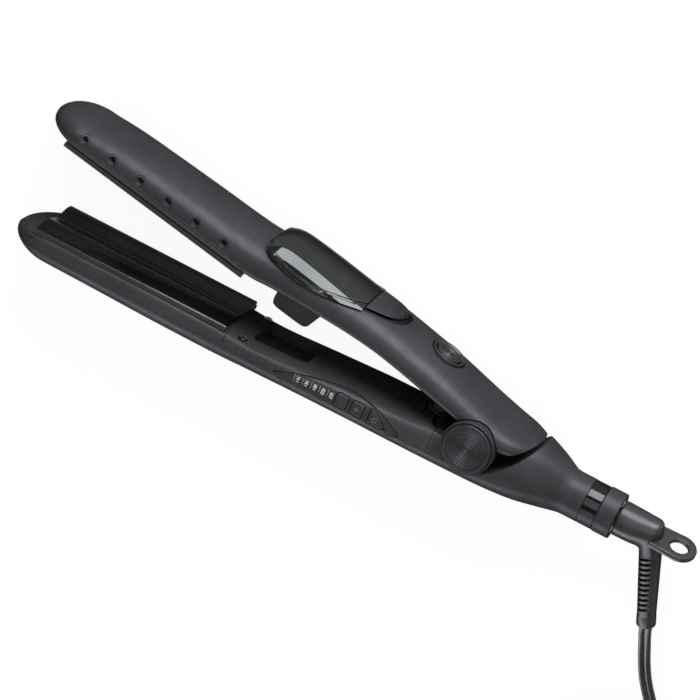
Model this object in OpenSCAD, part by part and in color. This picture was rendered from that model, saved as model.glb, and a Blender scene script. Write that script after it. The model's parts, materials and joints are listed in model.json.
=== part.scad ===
// Steam hair crimper with two hinged arms, lying on its side.
// +X runs from the nose to the cord, +Y from the lower to the upper arm, +Z along the hinge axis.
// The origin is on the hinge axis, at the plane that the tool lies on.

/* [Arms] */
// Width of both arms, along the hinge axis
arm_w = 41; // [40:0.5:42]
// Distance from the hinge axis to the nose of the lower arm
lower_reach = 235; // [233:1:240]
// Distance from the hinge axis to the nose of the upper arm
upper_reach = 242; // [240:1:246]
// Length of each rounded nose
nose_len = 20; // [18:1:20]
// Wall of the moulded shells
wall = 2; // [1.8:0.1:2.2]
// Gap at the seams between mouldings
seam_gap = 0.2; // [0.1:0.05:0.3]
// Angle between the arms at rest
open_angle = 10.3; // [9.8:0.1:10.6]

/* [Plates] */
// Length of the crimping plates
plate_len = 100; // [97:1:101]
// Width of the crimping plates
plate_w = 37; // [36:0.5:37]
// Thickness of the plates at the wave's middle line
plate_t = 2; // [1.8:0.1:2.1]
// Distance from the nose of the lower arm to its plate
lower_plate_gap = 12; // [11.5:0.5:12.5]
// Distance from the nose of the upper arm to its plate
upper_plate_gap = 15; // [14.5:0.5:15.5]
// Height of the wave, from middle line to crest
wave_h = 1; // [0.8:0.1:1.2]
// Distance from crest to crest
wave_pitch = 23; // [22:0.5:24]
// Gap between the closed plates
plate_gap = 1.2; // [1:0.1:1.4]
// Clearance around a plate in its cover
plate_clear = 0.4; // [0.3:0.1:0.5]
// Length of a heating element
heater_len = 70; // [60:1:75]
// Width of a heating element
heater_w = 14; // [12:1:16]
// Thickness of a heating element
heater_t = 1.5; // [1.4:0.05:1.55]
// Thickness of the insulating sleeve
sleeve_t = 0.3; // [0.2:0.05:0.3]

/* [Hinge] */
// Radius of the hinge pin
pin_r = 3; // [2.5:0.1:3.2]
// Radius of the hinge ears on the lower arm
ear_r = 12.3; // [12.1:0.1:12.5]
// Thickness of each hinge ear
ear_t = 5; // [4.6:0.1:5.2]
// Radius of the lock button
dial_r = 11.2; // [11:0.1:11.3]
// Height of the lock button's disc
dial_t = 2; // [1.8:0.1:2.4]
// Travel of the lock button
dial_travel = 1.2; // [1:0.1:1.3]
// Radius of the yoke's lugs
lug_r = 9.5; // [9:0.1:10]
// Turns of the return spring
return_turns = 7; // [6:1:8]
// Radial gap of a running fit
run_fit = 0.05; // [0.03:0.01:0.08]
// Gap between moving pieces
gap = 0.4; // [0.3:0.05:0.45]

/* [Neck and cord] */
// Diameter of the neck that carries the cord swivel
neck_d = 21; // [20.5:0.1:21.5]
// Distance from the hinge axis to the neck
neck_x = 46; // [45:0.5:47]
// Length of the neck
neck_len = 24.5; // [24:0.5:25]
// Width of the glossy inlay around the neck
inlay_w = 7.3; // [7:0.1:7.5]
// Diameter of the cord boot
boot_d = 16.8; // [16.4:0.1:17]
// Length of the boot up to its elbow
boot_len = 16; // [15.5:0.5:16.5]
// Angle that the elbow turns through
elbow_angle = 74.5; // [73:0.5:75]
// Turn of the cord swivel about the neck
swivel_turn = 16; // [14:1:16]
// Length of the strain relief from the elbow's centre
relief_len = 50.4; // [50:0.2:51]
// Diameter of the hole in the hanging loop
loop_hole_d = 8.6; // [8:0.2:9]
// Width of the hanging loop
loop_w = 16; // [15:0.5:17]
// Thickness of the hanging loop
loop_t = 2.6; // [2.4:0.1:3]
// Diameter of the mains lead
lead_d = 6; // [5.8:0.1:6.2]
// Radius at the middle of the coiled lead
coil_r = 33; // [32.5:0.1:33.5]
// Width of the coil's winding
coil_w = 18; // [17:0.5:19]
// Height of the coil's winding
coil_h = 12; // [11:0.5:13]

/* [Controls] */
// Travel of the control buttons
key_travel = 0.7; // [0.5:0.1:0.8]
// Width of the two small buttons
key_w = 6; // [5.6:0.1:6.2]
// Distance between the two small buttons
key_pitch = 8; // [7.8:0.1:8.4]
// Distance between the scale marks
mark_pitch = 4.2; // [4:0.1:4.3]
// Number of scale marks
mark_count = 5; // [4:1:5]
// Radius of the steam button
steam_r = 6; // [5.8:0.1:6.2]
// Radius of the ring around the steam button
steam_ring_r = 8.5; // [8.3:0.1:8.8]
// Distance from the hinge axis to the steam button
steam_x = 32.4; // [32:0.2:33]
// Travel of the steam button
steam_travel = 1.5; // [1.2:0.1:1.6]

/* [Steam] */
// Number of steam vents on each side
vent_count = 6; // [5:1:6]
// Distance between the vents
vent_pitch = 15.7; // [15.5:0.1:15.8]
// Bore radius of a vent
vent_r = 1.2; // [1:0.1:1.4]
// Wall of the water tank
tank_wall = 1.6; // [1.4:0.1:1.8]
// Distance from the hinge axis to the joint of tank and latch
latch_x = 73.5; // [73:0.5:74]
// Travel of the tank latch
latch_travel = 1.4; // [1:0.1:1.5]
// Radius of the pump plunger
plunger_r = 4; // [3.8:0.1:4.2]
// Distance from the hinge axis to the pump plunger
plunger_x = 22; // [21.5:0.5:22.5]
// Stroke of the pump plunger while the arms close
plunger_stroke = 3.8; // [3.6:0.1:3.9]
// Radius of the screws' shanks
screw_r = 1.25; // [1.1:0.05:1.4]
// Radius of the screws' heads
screw_head_r = 2.3; // [2.1:0.1:2.5]

/* [Hidden] */

// Half width of the arms, which is also the height of their middle plane
half_w = arm_w / 2;
// Steps around half a shell's section
arc_steps = 16;
// Distance between two sections of a shell
section_step = 9;
// Height of the seam in the lower arm, and of the neck's axis
lower_seam_y = -11;
neck_y = -5.7;
neck_end = neck_x + neck_len;
inlay_x = neck_end - 8.2 - inlay_w;
// Middle line of the lower plate's wave
lower_wave_y = -1.85;
upper_wave_y = lower_wave_y + plate_gap;
lower_plate_x = -lower_reach + lower_plate_gap;
upper_plate_x = -upper_reach + upper_plate_gap;
// Start of the notch in front of the hinge
notch_x = -28.4;
// Floor that a plate carrier stands on, below or above the wave
carrier_depth = 4.4;
carrier_floor_t = 0.9;
// Height of the inner deck of the lower arm near the hinge
deck_y = -0.4;
split_x = -17.4;
// Underside of the upper arm where the pump plunger leaves it
plunger_top = 9;
plunger_foot = -3.9;
pump_top = 15;

// ---- curves and lofted shells ----

function seg(p, x, i = 0) = (i >= len(p) - 2 || x < p[i + 1][0]) ? i : seg(p, x, i + 1);
function slope(p, i) =
    let (a = max(i - 1, 0), b = min(i + 1, len(p) - 1))
    (p[b] - p[a]) / (p[b][0] - p[a][0]);
// Smooth row of a table whose first column is x
function row(p, x) =
    x <= p[0][0] ? p[0] :
    x >= p[len(p) - 1][0] ? p[len(p) - 1] :
    let (i = seg(p, x), h = p[i + 1][0] - p[i][0], t = (x - p[i][0]) / h)
    p[i] * (2 * pow(t, 3) - 3 * pow(t, 2) + 1) + p[i + 1] * (3 * pow(t, 2) - 2 * pow(t, 3))
    + slope(p, i) * h * (pow(t, 3) - 2 * pow(t, 2) + t) + slope(p, i + 1) * h * (pow(t, 3) - pow(t, 2));
function curve_y(p, x) = row(p, x)[1];
function signed_pow(v, e) = sign(v) * pow(abs(v), e);
function lerp(a, b, t) = a + (b - a) * t;

// Columns: x, seam height, rise above it, drop below it, half width,
// fullness above, fullness below, angle that the upper moulding wraps below the seam
lower_rows = [
    [-lower_reach + nose_len, lower_seam_y, 7.2, 9.4, half_w, 4.5, 2.2, 0],
    [-190, lower_seam_y, 7.2, 9.9, half_w, 4.5, 2.2, 0],
    [-158, lower_seam_y, 7.2, 10.7, half_w, 4.5, 2.2, 0],
    [-126, lower_seam_y, 6.6, 10.8, half_w, 4.5, 2.2, 0],
    [-108, lower_seam_y, 5.6, 10.2, half_w, 4, 2.2, 0],
    [-80, lower_seam_y, 7.4, 9.4, half_w, 4, 2.2, 0],
    [-55, lower_seam_y, 9.0, 9.0, half_w, 4, 2.2, 0],
    [-25, lower_seam_y + 0.2, 10.3, 9.1, half_w, 4, 2.2, 0],
    [0, lower_seam_y + 1.4, 16, 10.2, half_w, 3.2, 2.2, 0],
    [12, lower_seam_y + 2.4, 20, 11, half_w - 0.1, 2.6, 2.2, 0],
    [25, lower_seam_y + 4, 19.6, 12, half_w - 1.7, 2.3, 2.2, 0],
    [36, lower_seam_y + 4.9, 15.6, 11.6, half_w - 5.6, 2.1, 2.1, 0],
    [neck_x, neck_y, neck_d / 2, neck_d / 2, neck_d / 2, 2, 2, 0],
    [neck_x + 1, neck_y, neck_d / 2, neck_d / 2, neck_d / 2, 2, 2, 0],
    [neck_end, neck_y, neck_d / 2, neck_d / 2, neck_d / 2, 2, 2, 0]
];
upper_rows = [
    [-upper_reach + nose_len, 4.8, 9.2, 3.6, half_w, 2.2, 5, 0],
    [-206, 5.2, 10.5, 4.0, half_w, 2.2, 5, 0],
    [-183, 5.3, 11.3, 4.1, half_w, 2.2, 5, 0],
    [-161, 5.3, 11.9, 4.1, half_w, 2.2, 5, 0],
    [-138, 5.4, 12.2, 4.2, half_w, 2.2, 5, 0],
    [-124, 6.0, 12.8, 6.0, half_w, 2.2, 3.5, 20],
    [-112, 7.3, 13.0, 6.0, half_w, 2.2, 2.6, 35],
    [-80, 10.3, 12.9, 4.6, half_w, 2.2, 2.6, 40],
    [-60, 11, 12.4, 3.6, half_w, 2.2, 2.6, 40],
    [-45, 11, 11.5, 4.4, half_w, 2.2, 2.6, 40],
    [-31, 10.5, 11.0, 5.2, half_w, 2.2, 2.6, 40],
    [-17, 9.5, 10.2, 5.0, half_w, 2.2, 2.6, 40],
    [-4, 8.7, 9.2, 5.0, half_w, 2.2, 2.6, 40],
    [8, 8, 8.6, 5.0, half_w, 2.2, 2.6, 40],
    [16, 9, 7.2, 5.0, half_w - 1.6, 2.2, 2.6, 40],
    [22, 10.5, 5.2, 5.0, half_w - 5.6, 2.2, 2.6, 40],
    [26, 12, 3.4, 5.0, half_w - 11, 2.2, 2.6, 40]
];
tank_rows = [
    [-130, 5.6, 13.0, 4, half_w, 2.3, 2.2, 0],
    [-125, 5.9, 16.0, 4, half_w + 0.2, 2.3, 2.2, 0],
    [-120, 6.5, 18.0, 4, half_w + 0.3, 2.3, 2.2, 0],
    [-114, 7.1, 18.3, 4, half_w + 0.3, 2.3, 2.2, 0],
    [-98, 8.8, 16.4, 4, half_w + 0.3, 2.3, 2.2, 0],
    [-73.5, 10.5, 13.7, 4, half_w + 0.3, 2.3, 2.2, 0],
    [-62, 10.9, 13.2, 4, half_w + 0.2, 2.3, 2.2, 0],
    [-51, 11, 12.2, 4, half_w, 2.3, 2.2, 0]
];
// Lower edge of tank and latch, seen from the side
tank_edge = [
    [-130, 19.2], [-128.3, 17.4], [-124, 16.1], [-117, 15.1], [-106, 14.4],
    [-95, 15.3], [-83, 17.8], [-73.5, 20], [-57, 22.2], [-50, 23.6]
];
tank_front_x = -129.6;
tank_tail_x = -51.3;
// Cup in the rear cover that the end of the upper arm turns in
cup_curve = [
    [-12, -10], [-6, -12.6], [2, -13.2], [9.7, -9], [18.8, -1.7], [25.6, 6.9], [29.8, 13.6]
];
// Lower edge of the upper arm behind the hinge
tail_curve = [[8, 4], [15.6, 6.5], [20.1, 10.6], [22.8, 13.9], [26, 18]];
// Outline of the control panel, above and below
panel_top = [
    [-94.4, -10.6], [-85, -7.3], [-70, -4.4], [-55.6, -3.5], [-43, -5.2], [-34, -9.2], [-31.1, -11.3]
];
panel_bottom = [
    [-94.4, -10.6], [-88, -14], [-75, -15.8], [-60, -15.6], [-45, -14.2], [-34, -12.5], [-31.1, -11.3]
];
panel_clear = 0.15;

// Share of the full section that is left at x, inside a rounded nose
function nose_share(x, tip, len) =
    x >= tip + len ? 1 : x <= tip ? 0 : sqrt(1 - pow((tip + len - x) / len, 2));
// Point of a section: inset is taken off all round
function section_point(r, share, angle, inset, shift) =
    let (
        s = sin(angle),
        c = cos(angle),
        h = max((s >= 0 ? r[2] : r[3]) * share - inset, 0.15),
        e = 2 / (s >= 0 ? r[5] : r[6]),
        w = max(r[4] * share - inset, 0.15)
    )
    [r[0], r[1] + shift + h * signed_pow(s, e), half_w + w * signed_pow(c, e)];
function at_x(r, x) = [x, r[1], r[2], r[3], r[4], r[5], r[6], r[7]];
function wrap(r) = r[7] < 1 ? 0 : r[7];
function stations(tip, len, last) = concat(
    [for (k = [0:6]) tip + len * (1 - cos(6 + k * 13))],
    [for (k = [1:floor((last - tip - len - 1) / section_step)]) tip + len + k * section_step],
    [last]
);
function cut_off(xs, from, to) = concat(
    from > xs[0] ? [from] : [],
    [for (x = xs) if (x > from + 0.5 && x < to - 0.5 || (x <= xs[0] && from <= x)) x],
    [to]
);
// Ring of a thin moulding that covers the angles a to b
function thin_ring(r, x, tip, a, b, shift) =
    let (
        q = at_x(r, x),
        outer = nose_share(x, tip, nose_len),
        inner = nose_share(x, tip + wall, nose_len - wall)
    )
    concat(
        [for (k = [0:arc_steps]) section_point(q, outer, lerp(a, b, k / arc_steps), 0, shift)],
        [for (k = [arc_steps:-1:0])
            section_point(q, min(inner, outer), lerp(a, b, k / arc_steps), wall, shift)]
    );
function full_ring(r, x, tip, inset) =
    let (q = at_x(r, x), share = nose_share(x, tip, nose_len))
    [for (k = [0:2 * arc_steps - 1]) section_point(q, share, k * 180 / arc_steps, inset, 0)];

// Solid through rings of equal length; thin rings are closed by a strip at each end
module loft(rings, thin = false) {
    n = len(rings[0]);
    m = len(rings);
    e = (m - 1) * n;
    strip = n / 2 - 2;
    polyhedron(
        points = [for (r = rings) each r],
        faces = concat(
            thin ? [for (k = [0:strip]) [k, n - 2 - k, k + 1]] : [[for (i = [n - 1:-1:0]) i]],
            thin ? [for (k = [0:strip]) [k, n - 1 - k, n - 2 - k]] : [],
            [for (j = [0:m - 2]) for (i = [0:n - 1])
                [j * n + i, (j + 1) * n + (i + 1) % n, (j + 1) * n + i]],
            [for (j = [0:m - 2]) for (i = [0:n - 1])
                [j * n + i, j * n + (i + 1) % n, (j + 1) * n + (i + 1) % n]],
            thin ? [for (k = [0:strip]) [e + k, e + k + 1, e + n - 2 - k]] : [[for (i = [0:n - 1]) e + i]],
            thin ? [for (k = [0:strip]) [e + k, e + n - 2 - k, e + n - 1 - k]] : []
        ),
        convexity = 8
    );
}

// Solid of an arm's full section between two stations
module full_loft(rows, tip, from, to, inset) {
    xs = cut_off(stations(tip, nose_len, rows[len(rows) - 1][0]), from, to);
    loft([for (x = xs) full_ring(row(rows, x), x, tip, inset)]);
}

// Everything above a curve, through the whole width
module above(curve, from, to, lift = 0) {
    steps = 24;
    linear_extrude(height = arm_w + 4)
        polygon(concat(
            [for (k = [0:steps]) let (x = lerp(from, to, k / steps)) [x, curve_y(curve, x) + lift]],
            [[to, 40], [from, 40]]
        ));
}

// A band of the given depth below a curve, through the whole width
module band(curve, from, to, depth) {
    steps = 24;
    linear_extrude(height = arm_w + 4)
        polygon(concat(
            [for (k = [0:steps]) let (x = lerp(from, to, k / steps)) [x, curve_y(curve, x)]],
            [for (k = [steps:-1:0]) let (x = lerp(from, to, k / steps)) [x, curve_y(curve, x) - depth]]
        ));
}

// Turns a shape modelled with the arms closed to its place at rest
module in_upper() {
    rotate([0, 0, -open_angle]) children();
}

// Cylinder along +Y from y0 to y1
module y_cylinder(x, z, y0, y1, r, fn = 48) {
    translate([x, y0, z]) rotate([-90, 0, 0]) cylinder(h = y1 - y0, r = r, $fn = fn);
}

// Helical spring along +Z
module spring(radius, wire_r, turns, height, per_turn = 12, sides = 6) {
    steps = turns * per_turn;
    loft([for (k = [0:steps])
        let (a = k * 360 / per_turn, z = wire_r + (height - 2 * wire_r) * k / steps)
        [for (i = [0:sides - 1]) let (b = i * 360 / sides)
            [(radius + wire_r * cos(b)) * cos(a), (radius + wire_r * cos(b)) * sin(a), z + wire_r * sin(b)]]
    ]);
}

function unit(v) = v / norm(v);
// Tube swept along a route
module tube(route, r, sides) {
    n = len(route);
    loft([for (i = [0:n - 1])
        let (
            t = unit(route[min(i + 1, n - 1)] - route[max(i - 1, 0)]),
            s = unit(cross(t, [0, 0, 1])),
            u = cross(s, t)
        )
        [for (k = [0:sides - 1]) let (b = k * 360 / sides) route[i] + r * (cos(b) * s + sin(b) * u)]
    ]);
}

// ---- lower arm ----

plate_hole_w = plate_w + 2 * plate_clear;
panel_x0 = panel_top[0][0];
panel_x1 = panel_top[len(panel_top) - 1][0];
// Start of the space behind both plates that the steam chamber takes up
block_x = max(lower_plate_x + 11.6, upper_plate_x + 15.6) + plate_len;
pocket_x0 = block_x;
pocket_len = 24;
pocket_z0 = 4;
pocket_w = 27.6;
pocket_floor_y = -10.6;
board_z = arm_w - 7.4;
board_t = 1.6;
key_y = -8.6;
key_x = -60.7;
power_x = -46.6;
power_len = 8.4;
mark_x = -84.6;
deck_screw_x = block_x - 3.2;
deck_screws = [[deck_screw_x, 36], [deck_screw_x, arm_w - 36]];

// Seat of the screws' heads, in the lower inner cover
deck_screw_y = curve_y(lower_rows, deck_screw_x) + row(lower_rows, deck_screw_x)[2] - 0.9;
// Bosses in the lower shell that take the screws, and the depth of their holes
boss_r = 1.9;
boss_depth = 4.6;

module panel_prism(grow, from_z = half_w + 6) {
    steps = 20;
    translate([0, 0, from_z])
        linear_extrude(height = half_w)
            polygon(concat(
                [for (k = [0:steps]) let (x = lerp(panel_x0, panel_x1, k / steps))
                    [x + (k == 0 ? -grow : k == steps ? grow : 0), curve_y(panel_top, x) + grow]],
                [for (k = [steps:-1:0]) let (x = lerp(panel_x0, panel_x1, k / steps))
                    [x + (k == 0 ? -grow : k == steps ? grow : 0), curve_y(panel_bottom, x) - grow]]
            ));
}

module lower_outer_shell() {
    xs = stations(-lower_reach, nose_len, neck_end);
    color([0.07, 0.07, 0.075])
        difference() {
            union() {
                loft([for (x = xs)
                    thin_ring(row(lower_rows, x), x, -lower_reach, 180, 360, -seam_gap / 2)], true);
                intersection() {
                    full_loft(lower_rows, -lower_reach, -120, -50, wall / 2);
                    for (s = deck_screws)
                        y_cylinder(s[0], s[1], lower_seam_y - 12, lower_seam_y - seam_gap, boss_r, 24);
                }
            }
            panel_prism(panel_clear);
            for (s = deck_screws)
                y_cylinder(s[0], s[1], lower_seam_y - boss_depth + 0.6, lower_seam_y + 1, screw_r, 24);
        }
}

module lower_inner_cover() {
    xs = cut_off(stations(-lower_reach, nose_len, neck_end), -lower_reach - 1, split_x);
    color([0.08, 0.08, 0.085])
        difference() {
            union() {
                loft([for (x = xs)
                    thin_ring(row(lower_rows, x), x, -lower_reach, 0, 180, seam_gap / 2)], true);
                // floor under the plate carrier
                translate([lower_plate_x - 2, lower_wave_y - carrier_depth - carrier_floor_t, wall - 0.4])
                    cube([plate_len + 4, carrier_floor_t, arm_w - 2 * wall + 0.8]);
                // tub that the chamber housing dips into
                translate([pocket_x0 - 1.2, pocket_floor_y - 1.4, pocket_z0 - 1.6])
                    cube([pocket_len + 2.4, -pocket_floor_y - 5, pocket_w + 3.2]);
                deck_floor(notch_x, split_x);
            }
            translate([notch_x, deck_y - 1.2, -1]) cube([split_x - notch_x + 1, 20, arm_w + 2]);
            translate([lower_plate_x - plate_clear, lower_wave_y - carrier_depth, half_w - plate_hole_w / 2])
                cube([plate_len + 2 * plate_clear, 20, plate_hole_w]);
            translate([pocket_x0, pocket_floor_y, pocket_z0])
                cube([pocket_len, 20, pocket_w]);
            panel_prism(panel_clear);
            for (s = deck_screws) {
                y_cylinder(s[0], s[1], lower_seam_y - 1, 10, screw_r + 0.15, 24);
                y_cylinder(s[0], s[1], deck_screw_y - 0.1, 10, screw_head_r + 0.1, 24);
            }
        }
}

// Floor of the notch in front of the hinge
module deck_floor(from, to) {
    intersection() {
        full_loft(lower_rows, -lower_reach, from, to, wall - 0.4);
        translate([from, deck_y - 2.8, -1]) cube([to - from, 1.6, arm_w + 2]);
    }
}

module rear_cover() {
    xs = cut_off(stations(-lower_reach, nose_len, neck_end), split_x + seam_gap, neck_end);
    color([0.07, 0.07, 0.075])
        difference() {
            union() {
                difference() {
                    loft([for (x = xs)
                        thin_ring(row(lower_rows, x), x, -lower_reach, 0, 180, seam_gap / 2)], true);
                    translate([split_x - 1, deck_y - 1.2, -1]) cube([18, 60, arm_w + 2]);
                    translate([0, 0, -1]) above(cup_curve, -1, 29.8);
                }
                intersection() {
                    full_loft(lower_rows, -lower_reach, split_x + seam_gap, 34, wall + 0.15);
                    translate([0, 0, -1]) band(cup_curve, -12, 29.8, wall);
                }
                intersection() {
                    full_loft(lower_rows, -lower_reach, split_x + seam_gap, 34, wall - 0.4);
                    translate([0, 0, -1]) band(cup_curve, -12, 29.8, wall);
                    translate([0, 0, -1]) above(lower_rows, -14, 31, seam_gap);
                }
                deck_floor(split_x + seam_gap, -11.6);
            }
            for (z = [-1, arm_w - ear_t - seam_gap / 2])
                translate([0, 0, z]) cylinder(h = ear_t + 1 + seam_gap / 2, r = ear_r + seam_gap / 2, $fn = 72);
            // groove that takes the glossy inlay
            inlay_cut(inlay_w + 2 * panel_clear, 0.9, 1);
        }
}

// Half tube around the upper side of the neck
module inlay_cut(width, depth, proud) {
    translate([inlay_x - (width - inlay_w) / 2, neck_y, half_w])
        rotate([0, 90, 0])
            rotate_extrude(angle = 180, start = 0, $fn = 64)
                translate([neck_d / 2 - depth, 0]) square([depth + proud, width]);
}

module neck_inlay() {
    color([0.01, 0.01, 0.012]) inlay_cut(inlay_w, 0.8, 0);
}

module crimp_profile(base, direction) {
    steps = 48;
    z0 = half_w - plate_w / 2;
    // the crest lies a tenth of the width from the far edge
    polygon(concat(
        [for (k = [0:steps]) let (u = plate_w * k / steps)
            [-(z0 + u), base + wave_h * cos((u - plate_w * 0.1) * 360 / wave_pitch)]],
        [[-(z0 + plate_w), base - direction * plate_t], [-z0, base - direction * plate_t]]
    ));
}

// Wave plate: direction is 1 for the lower plate, whose wave faces up, and -1 for the upper
module crimp_plate(x, base, direction) {
    color([0.02, 0.02, 0.02])
        translate([x, 0, 0])
            rotate([0, 90, 0])
                linear_extrude(height = plate_len) crimp_profile(base, direction);
}

module lower_crimp_plate() {
    crimp_plate(lower_plate_x, lower_wave_y, 1);
}

heater_room = heater_t + 2 * sleeve_t;

// Tray under a plate, with the recess for its heater
module plate_carrier(x, base, direction) {
    y0 = direction > 0 ? base - carrier_depth : base + plate_t;
    h = carrier_depth - plate_t;
    room_y = direction > 0 ? y0 + h - heater_room : y0 - 1;
    color([0.1, 0.1, 0.1])
        difference() {
            translate([x, y0, half_w - plate_w / 2]) cube([plate_len, h, plate_w]);
            translate([
                x + (plate_len - heater_len) / 2 - sleeve_t - 0.1,
                room_y,
                half_w - heater_w / 2 - sleeve_t - 0.1
            ])
                cube([heater_len + 2 * sleeve_t + 0.2, heater_room + 1, heater_w + 2 * sleeve_t + 0.2]);
        }
}

module lower_plate_carrier() {
    plate_carrier(lower_plate_x, lower_wave_y, 1);
}

// Heater strip, or the sleeve around it when grow is the sleeve's thickness
module heater_block(x, y, grow) {
    translate([x + (plate_len - heater_len) / 2 - grow, y - grow, half_w - heater_w / 2 - grow])
        cube([heater_len + 2 * grow, heater_t + 2 * grow, heater_w + 2 * grow]);
}

module heater_sleeve(x, y) {
    color([0.75, 0.55, 0.2])
        difference() {
            heater_block(x, y, sleeve_t);
            translate([-1, 0, 0]) heater_block(x, y, 0);
            translate([1, 0, 0]) heater_block(x, y, 0);
            heater_block(x, y, 0);
        }
}

lower_heater_y = lower_wave_y - plate_t - sleeve_t - heater_t;
upper_heater_y = upper_wave_y + plate_t + sleeve_t;

module lower_heater() {
    color([0.85, 0.85, 0.8]) heater_block(lower_plate_x, lower_heater_y, 0);
}

module lower_insulator() {
    heater_sleeve(lower_plate_x, lower_heater_y);
}

module control_board() {
    color([0.05, 0.3, 0.12])
        difference() {
            translate([panel_x0 + 7, -15.5, board_z]) cube([panel_x1 - panel_x0 - 12, 7.5, board_t]);
            for (x = [-82, -40])
                translate([x, -14, board_z - 1]) cylinder(h = board_t + 2, r = 0.8, $fn = 24);
        }
}

module tact_switches() {
    color([0.7, 0.7, 0.7])
        for (x = [key_x, key_x + key_pitch, power_x + power_len / 2 - 0.4])
            translate([x - 2, key_y - 2, board_z + board_t]) cube([4, 4, 1.2]);
}

module indicator_lamps() {
    color([0.9, 0.9, 0.85])
        for (k = [0:mark_count - 1])
            translate([mark_x + k * mark_pitch - 0.25, key_y - 1.9 + k * 0.2, board_z + board_t])
                cube([0.5, 3.4, arm_w - 0.1 - board_z - board_t]);
}

module key_outline(x, grow) {
    w = key_w + 2 * grow;
    translate([x - w / 2, key_y - w / 2 - 0.2]) square_round(w, w + 0.4, 1 + grow);
}

module square_round(w, h, r) {
    polygon([
        for (c = [[w - r, h - r, 0], [r, h - r, 90], [r, r, 180], [w - r, r, 270]])
            for (k = [0:4]) [c[0] + r * cos(c[2] + k * 22.5), c[1] + r * sin(c[2] + k * 22.5)]
    ]);
}

module power_outline(grow) {
    polygon([
        [power_x - grow, key_y - 3.6 - grow], [power_x - grow, key_y + 3.2 + grow],
        [power_x + 1.4, key_y + 3.4 + grow], [power_x + power_len * 0.6, key_y + 1 + grow],
        [power_x + power_len + 1.4 * grow, key_y - 2 + grow / 2],
        [power_x + power_len + 1.4 * grow, key_y - 2.6 - grow / 2],
        [power_x + power_len * 0.7, key_y - 3.7 - grow]
    ]);
}

module panel_bezel() {
    color([0.06, 0.06, 0.065])
        difference() {
            intersection() {
                difference() {
                    full_loft(lower_rows, -lower_reach, panel_x0 - 1, panel_x1 + 1, -0.3);
                    full_loft(lower_rows, -lower_reach, panel_x0 - 2, panel_x1 + 2, 1.5);
                }
                panel_prism(0);
            }
            translate([0, 0, half_w]) linear_extrude(height = half_w + 2) {
                key_outline(key_x, 0.3);
                key_outline(key_x + key_pitch, 0.3);
                power_outline(0.3);
            }
            for (k = [0:mark_count - 1])
                translate([mark_x + k * mark_pitch - 0.35, key_y - 2 + k * 0.2, half_w])
                    cube([0.7, 3.6, half_w + 2]);
        }
}

key_top = arm_w + 0.5;
key_bottom = board_z + board_t + 1.2 + key_travel + 0.1;

module small_key(x) {
    color([0.09, 0.09, 0.095])
        union() {
            translate([0, 0, arm_w - 2.2]) linear_extrude(height = key_top - arm_w + 2.2) key_outline(x, 0);
            translate([x, key_y, key_bottom])
                cylinder(h = arm_w - 2 - key_bottom, r = 1.4, $fn = 24);
        }
}

module minus_button() {
    small_key(key_x);
}

module plus_button() {
    small_key(key_x + key_pitch);
}

module power_button() {
    color([0.09, 0.09, 0.095])
        union() {
            translate([0, 0, arm_w - 2.2]) linear_extrude(height = key_top - arm_w + 2.2) power_outline(0);
            translate([power_x + power_len / 2 - 0.4, key_y, key_bottom])
                cylinder(h = arm_w - 2 - key_bottom, r = 1.4, $fn = 24);
        }
}

module lower_screws() {
    color([0.6, 0.6, 0.62])
        for (s = deck_screws) {
            y_cylinder(s[0], s[1], lower_seam_y - boss_depth + 0.9, deck_screw_y, screw_r - 0.1, 24);
            y_cylinder(s[0], s[1], deck_screw_y, deck_screw_y + 1.2, screw_head_r, 24);
        }
}

// ---- hinge ----

bush_r = pin_r + 1;
pin_z0 = 1.4;
pin_z1 = arm_w - 3.2;

module hinge_ears() {
    color([0.075, 0.075, 0.08])
        difference() {
            for (z = [0, arm_w - ear_t])
                translate([0, 0, z]) cylinder(h = ear_t, r = ear_r, $fn = 72);
            translate([0, 0, -1]) cylinder(h = arm_w + 2, r = bush_r, $fn = 48);
            translate([0, 0, -1]) cylinder(h = 1.9, r = 8.2, $fn = 48);
            translate([-ear_r, -ear_r - 1, -1]) cube([2 * ear_r, ear_r + 1 - 8.6, arm_w + 2]);
        }
}

module hinge_pin() {
    color([0.75, 0.75, 0.77]) translate([0, 0, pin_z0]) cylinder(h = pin_z1 - pin_z0, r = pin_r, $fn = 48);
}

module hinge_bushes() {
    color([0.7, 0.55, 0.25])
        for (z = [1.2, arm_w - ear_t + 0.2])
            translate([0, 0, z])
                difference() {
                    cylinder(h = ear_t - 1.4 - (z > half_w ? 1.2 : 0), r = bush_r, $fn = 48);
                    translate([0, 0, -1]) cylinder(h = ear_t + 2, r = pin_r + run_fit, $fn = 48);
                }
}

ring_in_r = dial_r + 0.3;

module hinge_ring() {
    color([0.08, 0.08, 0.085])
        translate([0, 0, arm_w])
            rotate_extrude($fn = 96)
                polygon([[ring_in_r, 0], [ear_r + 0.1, 0], [ear_r + 0.1, 1.2], [ear_r - 0.4, 2.2], [ring_in_r, 2.2]]);
}

dial_z = arm_w + dial_travel + 0.2;

module lock_button() {
    color([0.1, 0.1, 0.105])
        union() {
            translate([0, 0, dial_z])
                rotate_extrude($fn = 96)
                    polygon(concat(
                        [[0, 0], [dial_r, 0], [dial_r, dial_t - 0.4], [dial_r - 0.4, dial_t], [dial_r - 1.6, dial_t]],
                        [for (k = [0:7]) each [
                            [dial_r - 2 - k * 1.1, dial_t - 0.5], [dial_r - 2.5 - k * 1.1, dial_t - 0.15]
                        ]],
                        [[0, dial_t - 0.4]]
                    ));
            translate([0, 0, pin_z1 + dial_travel + gap])
                cylinder(h = dial_z - pin_z1 - dial_travel, r = pin_r - 0.3, $fn = 48);
        }
}

module far_hinge_cap() {
    color([0.08, 0.08, 0.085]) cylinder(h = 0.8, r = 8.1, $fn = 64);
}

lug_z = [ear_t + gap, arm_w - ear_t - gap - 5.6];

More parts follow.
